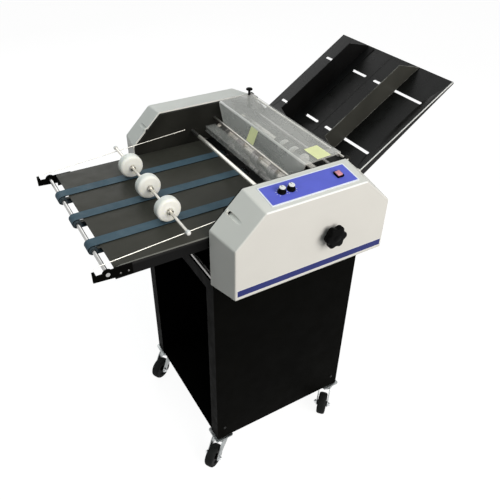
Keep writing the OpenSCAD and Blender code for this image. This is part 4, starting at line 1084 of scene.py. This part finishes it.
class CREASER_OT_guard(bpy.types.Operator):
    """Build the bent clear guard, its pale yellow patches and its thumb knob"""

    bl_idname = "creaser.guard"
    bl_label = "Guard"

    def execute(self, context):
        s = context.scene.creaser_guard
        low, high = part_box("safety_guard")
        bend = Vector((low.x + s.lean, low.y, high.z - s.rise))
        top_way = Vector((high.x - 0.0002, low.y, high.z)) - bend
        front_way = Vector((-s.lean, 0, -s.front))
        self.sheet(s, bend, top_way, front_way, high.y)
        self.patches(bend, top_way, front_way, high.y)
        self.knob()
        return {"FINISHED"}

    def sheet(self, s, bend, top_way, front_way, far_y):
        """The sheet, bent along a rounded line, slanted on its far side and rounded at its near corner."""
        foot = bend + front_way
        obj = opened(trace("guard_sheet", [bend + top_way, bend, foot]))
        bpy.ops.mesh.extrude_edges_move(TRANSFORM_OT_translate={"value": (0, far_y - bend.y, 0)})
        fall = front_way.normalized()
        start = Vector((bend.x, far_y, bend.z)) + fall * s.slant_start
        drop = front_way.length - s.slant_start
        bpy.ops.mesh.select_all(action="SELECT")
        bpy.ops.mesh.bisect(plane_co=start, plane_no=fall * s.slant + Y * drop, clear_outer=True)
        shape(obj, "VERT", lambda p: (p - foot).length < TOUCH, bpy.ops.mesh.bevel,
              offset=s.corner, segments=6, affect="VERTICES")
        shape(obj, "EDGE", lambda a, b: max(abs(a.x - bend.x), abs(b.x - bend.x), abs(a.z - bend.z)) < TOUCH,
              bpy.ops.mesh.bevel, offset=s.bend, segments=5, affect="EDGES")
        opened(obj)
        bpy.ops.mesh.normals_make_consistent(inside=False)
        closed(obj)
        if max(obj.data.polygons, key=lambda p: p.area).normal.z < 0:
            opened(obj)
            bpy.ops.mesh.flip_normals()
            closed(obj)
        thicken(obj, s.thick)
        cut(obj, drum("hole", 0.0032, -0.05, 0.05, span("guard_knob")[2], Z, 24))
        bevel(obj, 0.0004, 2, 40)
        # The faces round the bend are marked for a painted highlight.
        reach = 1.3 * s.bend
        marked(obj, lambda p, n: float(math.hypot(p.x - bend.x, p.z - bend.z) < reach and abs(n.y) < 0.5))
        done(obj, "guard", finish.clear_acrylic, "clear_acrylic", "safety_guard")

    def patches(self, bend, top_way, front_way, far_y):
        """Two pale yellow patches, one down the front and one on the top."""
        fall, along = front_way.normalized(), top_way.normalized()
        foot = front_way.length - 0.002
        lift, thick = 0.00002, 0.0003
        for name, way, out, left, right, first, last in (
                ("front_patch", fall, Y.cross(fall), far_y - 0.221, far_y - 0.185, 0.004, foot),
                ("top_patch", along, along.cross(Y), bend.y + 0.002, bend.y + 0.061, 0.038, 0.078)):
            corners = ((left, first), (right, first), (right, last), (left, last))
            points = [Vector((bend.x, y, bend.z)) + way * d + out * lift for y, d in corners]
            patch = bevel(plate(name, points, out * thick), FILM_EDGE, 1)
            done(patch, "guard", finish.patch_film, "clear_acrylic")

    def knob(self):
        """The black thumb knob on its stem."""
        low, high, middle = span("guard_knob")
        outline = profile([(0, 0), (2.9, 0)], height=low.z)
        outline += profile([
            (2.9, 0), (4.5, 0), (4.5, 1.5), (3.6, 3), (3.6, 10.5), (6, 12.8), (9.2, 13.8), (9.9, 15.2),
            (9.9, 16.4), (8.6, 18.2), (4.5, 19.6), (0, 20)], height=high.z - 0.020)
        knob = lathe("thumb_knob", outline, (middle.x, middle.y, 0), Z, 40)
        done(knob, "guard_screw", finish.black_plastic, "black_plastic", "guard_knob")


# Delivery table, crossbar and tray

class CREASER_OT_delivery(bpy.types.Operator):
    """Build the folded delivery table and its three belts"""

    bl_idname = "creaser.delivery"
    bl_label = "Delivery table"

    def execute(self, context):
        low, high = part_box("conveyor_table")
        half = (high.y - low.y) / 2
        table = copied("conveyor_table", "delivery_table")
        shape(table, "EDGE", lambda a, b: min(a.z, b.z) > high.z - TOUCH and abs(a.x - b.x) > 0.05
              and max(abs(a.y - MID_Y), abs(b.y - MID_Y)) > half - TOUCH and abs(a.y - b.y) < TOUCH,
              bpy.ops.mesh.bevel, offset=0.0045, segments=4, affect="EDGES")
        # The top gets a painted sheen, the rounded sides a painted highlight and the end under the exit
        # painted shade.
        marked(self.part(table), self.table_tone)
        done(table, "machine", finish.table_grey, "table_grey", "conveyor_table", angle=40)
        belts = self.part(copied("conveyor_belts", "delivery_belts"))
        # The sides and the ends under the exit are marked for painted shade.
        marked(belts, lambda p, n: float(abs(n.y) > 0.7 or p.x > PAINTED_SHADE_X))
        done(belts, "machine", finish.belt_rubber, "belt_rubber", "conveyor_belts", angle=40)
        return {"FINISHED"}

    def part(self, obj):
        """Parts a piece's faces where the painted shade under the exit begins."""
        return shape(obj, "FACE", lambda p, n: True, bpy.ops.mesh.bisect, plane_co=(PAINTED_SHADE_X, 0, 0), plane_no=X)

    def table_tone(self, p, n):
        """0 on the open top, which takes a painted sheen; 1 on the rounded sides, which take a painted
        highlight; 0.5 on the black parts, where the top under the exit takes painted shade.
        """
        if n.z > 0.97 and p.x < PAINTED_SHADE_X:
            return 0
        return 1 if 0.12 < n.z < 0.97 and abs(n.y) > 0.12 else 0.5


class CREASER_OT_bars(bpy.types.Operator):
    """Build the sleeved crossbar over the delivery, and the tray with its seam and a painted highlight along
    its edge
    """

    bl_idname = "creaser.bars"
    bl_label = "Bars"

    def execute(self, context):
        self.crossbar()
        self.tray()
        return {"FINISHED"}

    def crossbar(self):
        """The steel bar and the white sleeve on it."""
        low, high, middle = span("crossbar")
        half = (high.y - low.y) / 2
        bar = profile([(0, 0), (4, 0), (4.75, 0.8)], 0, -half)
        bar += profile([(4.75, -0.8), (4, 0), (0, 0)], 0, half)
        core = lathe("crossbar_core", bar, middle, Y, 32)
        done(core, "machine", finish.steel, "steel", "crossbar")
        near, far = 0.0085 - half, half - 0.052
        tube = profile([(4.78, 0), (5.1, 0), (5.3, 0.6)], 0, near)
        tube += profile([(5.3, -0.6), (5.1, 0), (4.78, 0)], 0, far) + [tube[0]]
        sleeve = lathe("crossbar_sleeve", tube, middle, Y, 32)
        done(sleeve, "machine", finish.white_bar, "ivory_plastic")

    def tray(self):
        """The tray's sheet with a seam up its middle, and a light strip along its near edge as a painted
        highlight.
        """
        low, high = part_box("feed_tray")
        tray = copied("feed_tray", "tray_sheet")
        middle, slit, depth, past = (high.y - low.y) / 2, 0.0011, 0.0008, 0.01
        seam = block("seam", (-past, middle - slit, -depth), (TRAY_LENGTH + 2 * past, middle + slit, past))
        cut(tray, place(seam, tray_frame()))
        done(bevel(tray, 0.0003, 1, 60), "machine", finish.tray_black, "black_paint", "feed_tray")
        # A light strip as a painted highlight along the tray's folded edge
        edge = block("tray_edge_highlight", (0.001, -0.0005, -0.0022), (TRAY_LENGTH - 0.0015, 0.0019, 0.0004))
        done(place(bevel(edge, METAL_EDGE, 2), tray_frame()), "machine", finish.bare_edge, "steel")


# Weight roller and feed wheels

class CREASER_OT_rollers(bpy.types.Operator):
    """Build the weight wheels, their rod with its set collars, and the feed wheels"""

    bl_idname = "creaser.rollers"
    bl_label = "Rollers"

    def execute(self, context):
        self.weights()
        self.rod()
        self.feed()
        return {"FINISHED"}

    def weights(self):
        """Three rounded wheels with a countersunk bore."""
        low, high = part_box("weight_wheel_middle")
        r, h = (high.z - low.z) / 2, (high.y - low.y) / 2
        edge = 0.007
        half = profile([(4.15, -4), (7.2, -4), (7.8, -0.4)], 0, h) + [(r - 0.011, h), (r - edge, h)]
        half += arc(edge, range(75, -1, -15), r - edge, h - edge)
        wheel = lathe("wheel", mirrored(half), steps=72)
        for name in WHEELS:
            at = Matrix.Translation(span("weight_wheel_" + name)[2]) @ Matrix.Rotation(math.pi / 2, 4, "X")
            done(twin(wheel, "weight_roller_" + name, at), "weight_" + name, finish.ivory_plastic,
                 "ivory_plastic", "weight_wheel_" + name)
        bpy.data.objects.remove(wheel)

    def rod(self):
        """The rod with its white end caps, and six set collars with their grub screw holes."""
        low, high, middle = span("weight_rod")
        half = (high.y - low.y) / 2
        inside, cap_reach, gap = 0.002, 0.0095, 0.0043
        bar = drum("weight_bar", 0.004, inside - half, half - inside, middle, Y, 32)
        cap = lathe("cap", profile([
            (4, 0), (5.4, 0), (5.8, 1), (5.8, 6.2), (4.8, 8.5), (2.8, 9.7), (0, 10), (0, 8), (4, 8),
            (4, 0)]), axis=Y, steps=32)
        end = Y * (half - cap_reach)
        caps = copies(cap, "cap", [Matrix.Translation(middle + end),
                                   Matrix.Translation(middle - end) @ Matrix.Rotation(math.pi, 4, "X")])
        collar = lathe("collar", mirrored(profile([(4, -4), (6.4, -4), (7, -3.4)])), axis=Y, steps=40)
        cut(collar, drum("hole", 0.0016, 0.003, 0.012, steps=20))
        tip = Matrix.Rotation(-0.6, 4, "Y")
        spots = []
        for name in WHEELS:
            near, far, centre = span("weight_wheel_" + name)
            reach = (far.y - near.y) / 2 + gap
            for y in (centre.y - reach, centre.y + reach):
                spots.append(Matrix.Translation((middle.x, y, middle.z)) @ tip)
        collars = copies(collar, "collar", spots)
        done(joined("weight_collars", collars), "weight_carrier", finish.nickel, "chrome")
        done(joined("weight_caps", caps), "weight_carrier", finish.white_film, "ivory_plastic")
        done(bar, "weight_carrier", finish.nickel, "chrome", "weight_rod")

    def feed(self):
        """Three feed wheels with a grooved rubber tread and pale hubs, whose white also stands in for glints
        on the wheels.
        """
        low, high, middle = span("feed_wheels")
        r, half, bore, pitch = (high.z - low.z) / 2, 0.011, 0.0091, 0.006
        tread = [(bore, -half)] + profile([(-2, 0), (0, 2)], r, -half)
        for y in (-pitch, 0, pitch):
            tread += profile([(0, -1), (-1.6, -0.6), (-1.6, 0.6), (0, 1)], r, y)
        tread += profile([(0, -2), (-2, 0)], r, half) + [(bore, half), (bore, -half)]
        wheel = lathe("wheel", tread, axis=Y, steps=64)
        disc = profile([(9.2, 0), (9.2, 2), (19, 2), (20.5, 0.6), (20.5, 0)], height=half)
        discs = [lathe("side", [(a, side * b) for a, b in disc], axis=Y, steps=64) for side in (-1, 1)]
        hub = joined("hub", discs)
        spots = [Matrix.Translation((middle.x, y, middle.z)) for y in (low.y + half, middle.y, high.y - half)]
        wheels, hubs = copies(wheel, "wheel", spots), copies(hub, "hub", spots)
        # The hubs' white also paints the glints that light makes on the wheels' sides.
        done(joined("feed_hubs", hubs), "feed_roller", finish.white_film, "ivory_plastic")
        done(joined("feed_treads", wheels), "feed_roller", finish.tyre_rubber, "black_rubber", "feed_wheels")


# Stage

class CREASER_OT_stage(bpy.types.Operator):
    """Lay the floor, hang the lights and set the camera"""

    bl_idname = "creaser.stage"
    bl_label = "Stage"

    def execute(self, context):
        scene = context.scene
        scene.view_settings.view_transform = "Standard"
        self.floor(scene)
        self.world(scene)
        self.lamp(scene, "key", (0.85, -4.0, 2.6), 186, 3.2, (1.0, 0.965, 0.92))
        self.lamp(scene, "top", (-1.05, 0.0, 4.25), 42, 3.0, (0.83, 1.0, 1.0))
        self.lamp(scene, "fill", (0.2, 3.6, 2.4), 22, 2.2, (1.0, 1.0, 1.0))
        self.camera(scene)
        return {"FINISHED"}

    def floor(self, scene):
        """A wide pale floor that shows white and keeps the machine's shadow."""
        clear()
        bpy.ops.mesh.primitive_plane_add(size=60)
        ground = started("floor")
        mat, tree, shader = blank("pale_floor")
        c = scene.creaser_colours.floor
        tone = shades(tree, grain(tree, 0.8, 3), (0.3, tinted(c, 0.96)), (0.7, c))
        surfaced(tree, shader, tone, 0.9, 0.05)
        strength = spread(tree, self.seen(tree), 0, 0.93, 0, 1)
        glow = added(tree, "Emission", {"Strength": strength}).outputs["Emission"]
        both = added(tree, "AddShader", {0: shader.outputs["BSDF"], 1: glow})
        tree.links.new(both.outputs["Shader"], tree.nodes["Material Output"].inputs["Surface"])
        ground.data.materials.append(mat)

    def seen(self, tree):
        """1 for rays from the camera, in a reflection or through the guard."""
        path = added(tree, "LightPath", {})
        total = path.outputs["Is Camera Ray"]
        for name in ("Is Glossy Ray", "Is Transmission Ray"):
            total = combined(tree, "MAXIMUM", total, path.outputs[name])
        return total

    def world(self, scene):
        """Soft light all round, and white where the camera looks past the floor."""
        world = bpy.data.worlds.new("studio")
        world.use_nodes = True
        scene.world = world
        tree = world.node_tree
        strength = spread(tree, self.seen(tree), 0.17, 1, 0, 1)
        filled(tree, tree.nodes["Background"], {"Strength": strength, "Color": (1, 1, 1, 1)})

    def lamp(self, scene, name, spot, power, size, colour):
        """A square soft light aimed at the machine's head."""
        light = bpy.data.lights.new(name, "AREA")
        light.energy = power
        light.color = colour
        light.size = size
        obj = bpy.data.objects.new(name, light)
        scene.collection.objects.link(obj)
        obj.location = spot
        head = Vector((0, 0, 0.7))
        obj.rotation_euler = (head - Vector(spot)).to_track_quat("-Z", "Y").to_euler()

    def camera(self, scene):
        """The camera stands in front of the operator's side, to the left, and looks down."""
        spot = (-0.68024, -1.1564, 1.6515)
        yaw, pitch, roll = (math.radians(v) for v in (31.24, 37.28, 1.15))
        ahead = Vector((math.sin(yaw) * math.cos(pitch), math.cos(yaw) * math.cos(pitch), -math.sin(pitch)))
        right = Vector((math.cos(yaw), -math.sin(yaw), 0))
        up = right.cross(ahead)
        right, up = right * math.cos(roll) + up * math.sin(roll), up * math.cos(roll) - right * math.sin(roll)
        lens = bpy.data.cameras.new("view")
        lens.sensor_width = 36
        lens.lens = 40.63
        lens.clip_end = 100
        obj = bpy.data.objects.new("view", lens)
        scene.collection.objects.link(obj)
        turn = Matrix((right, up, -ahead)).transposed().to_4x4()
        obj.matrix_world = Matrix.Translation(spot) @ turn
        scene.camera = obj


# Panel and registration

OPERATORS = (CREASER_OT_finishes, CREASER_OT_covers, CREASER_OT_controls, CREASER_OT_hand_knob,
             CREASER_OT_casters, CREASER_OT_screws, CREASER_OT_guard, CREASER_OT_delivery, CREASER_OT_bars,
             CREASER_OT_rollers, CREASER_OT_stage)
GROUPS = {"creaser_covers": CreaserCoverSizes, "creaser_controls": CreaserControlSizes,
          "creaser_casters": CreaserCasterSizes, "creaser_guard": CreaserGuardSizes,
          "creaser_colours": CreaserColours}


class CREASER_PT_pieces(bpy.types.Panel):
    """Shows the machine's sizes and colours, and the buttons that build its pieces"""

    bl_idname = "CREASER_PT_pieces"
    bl_label = "Creasing machine"
    bl_space_type = "VIEW_3D"
    bl_region_type = "UI"
    bl_category = "Creaser"

    def draw(self, context):
        for name, group in GROUPS.items():
            column = self.layout.column(align=True)
            for key in group.__annotations__:
                column.prop(getattr(context.scene, name), key)
        for operator in OPERATORS:
            self.layout.operator(operator.bl_idname)


def register():
    for cls in (*GROUPS.values(), *OPERATORS, CREASER_PT_pieces):
        bpy.utils.register_class(cls)
    for name, group in GROUPS.items():
        setattr(bpy.types.Scene, name, PointerProperty(type=group))


def unregister():
    for name in GROUPS:
        delattr(bpy.types.Scene, name)
    for cls in reversed((*GROUPS.values(), *OPERATORS, CREASER_PT_pieces)):
        bpy.utils.unregister_class(cls)


def main():
    register()
    bpy.ops.creaser.finishes()
    bpy.ops.creaser.covers()
    bpy.ops.creaser.controls()
    bpy.ops.creaser.hand_knob()
    bpy.ops.creaser.casters()
    bpy.ops.creaser.screws()
    bpy.ops.creaser.guard()
    bpy.ops.creaser.delivery()
    bpy.ops.creaser.bars()
    bpy.ops.creaser.rollers()
    bpy.ops.creaser.stage()


if __name__ == "__main__":
    main()
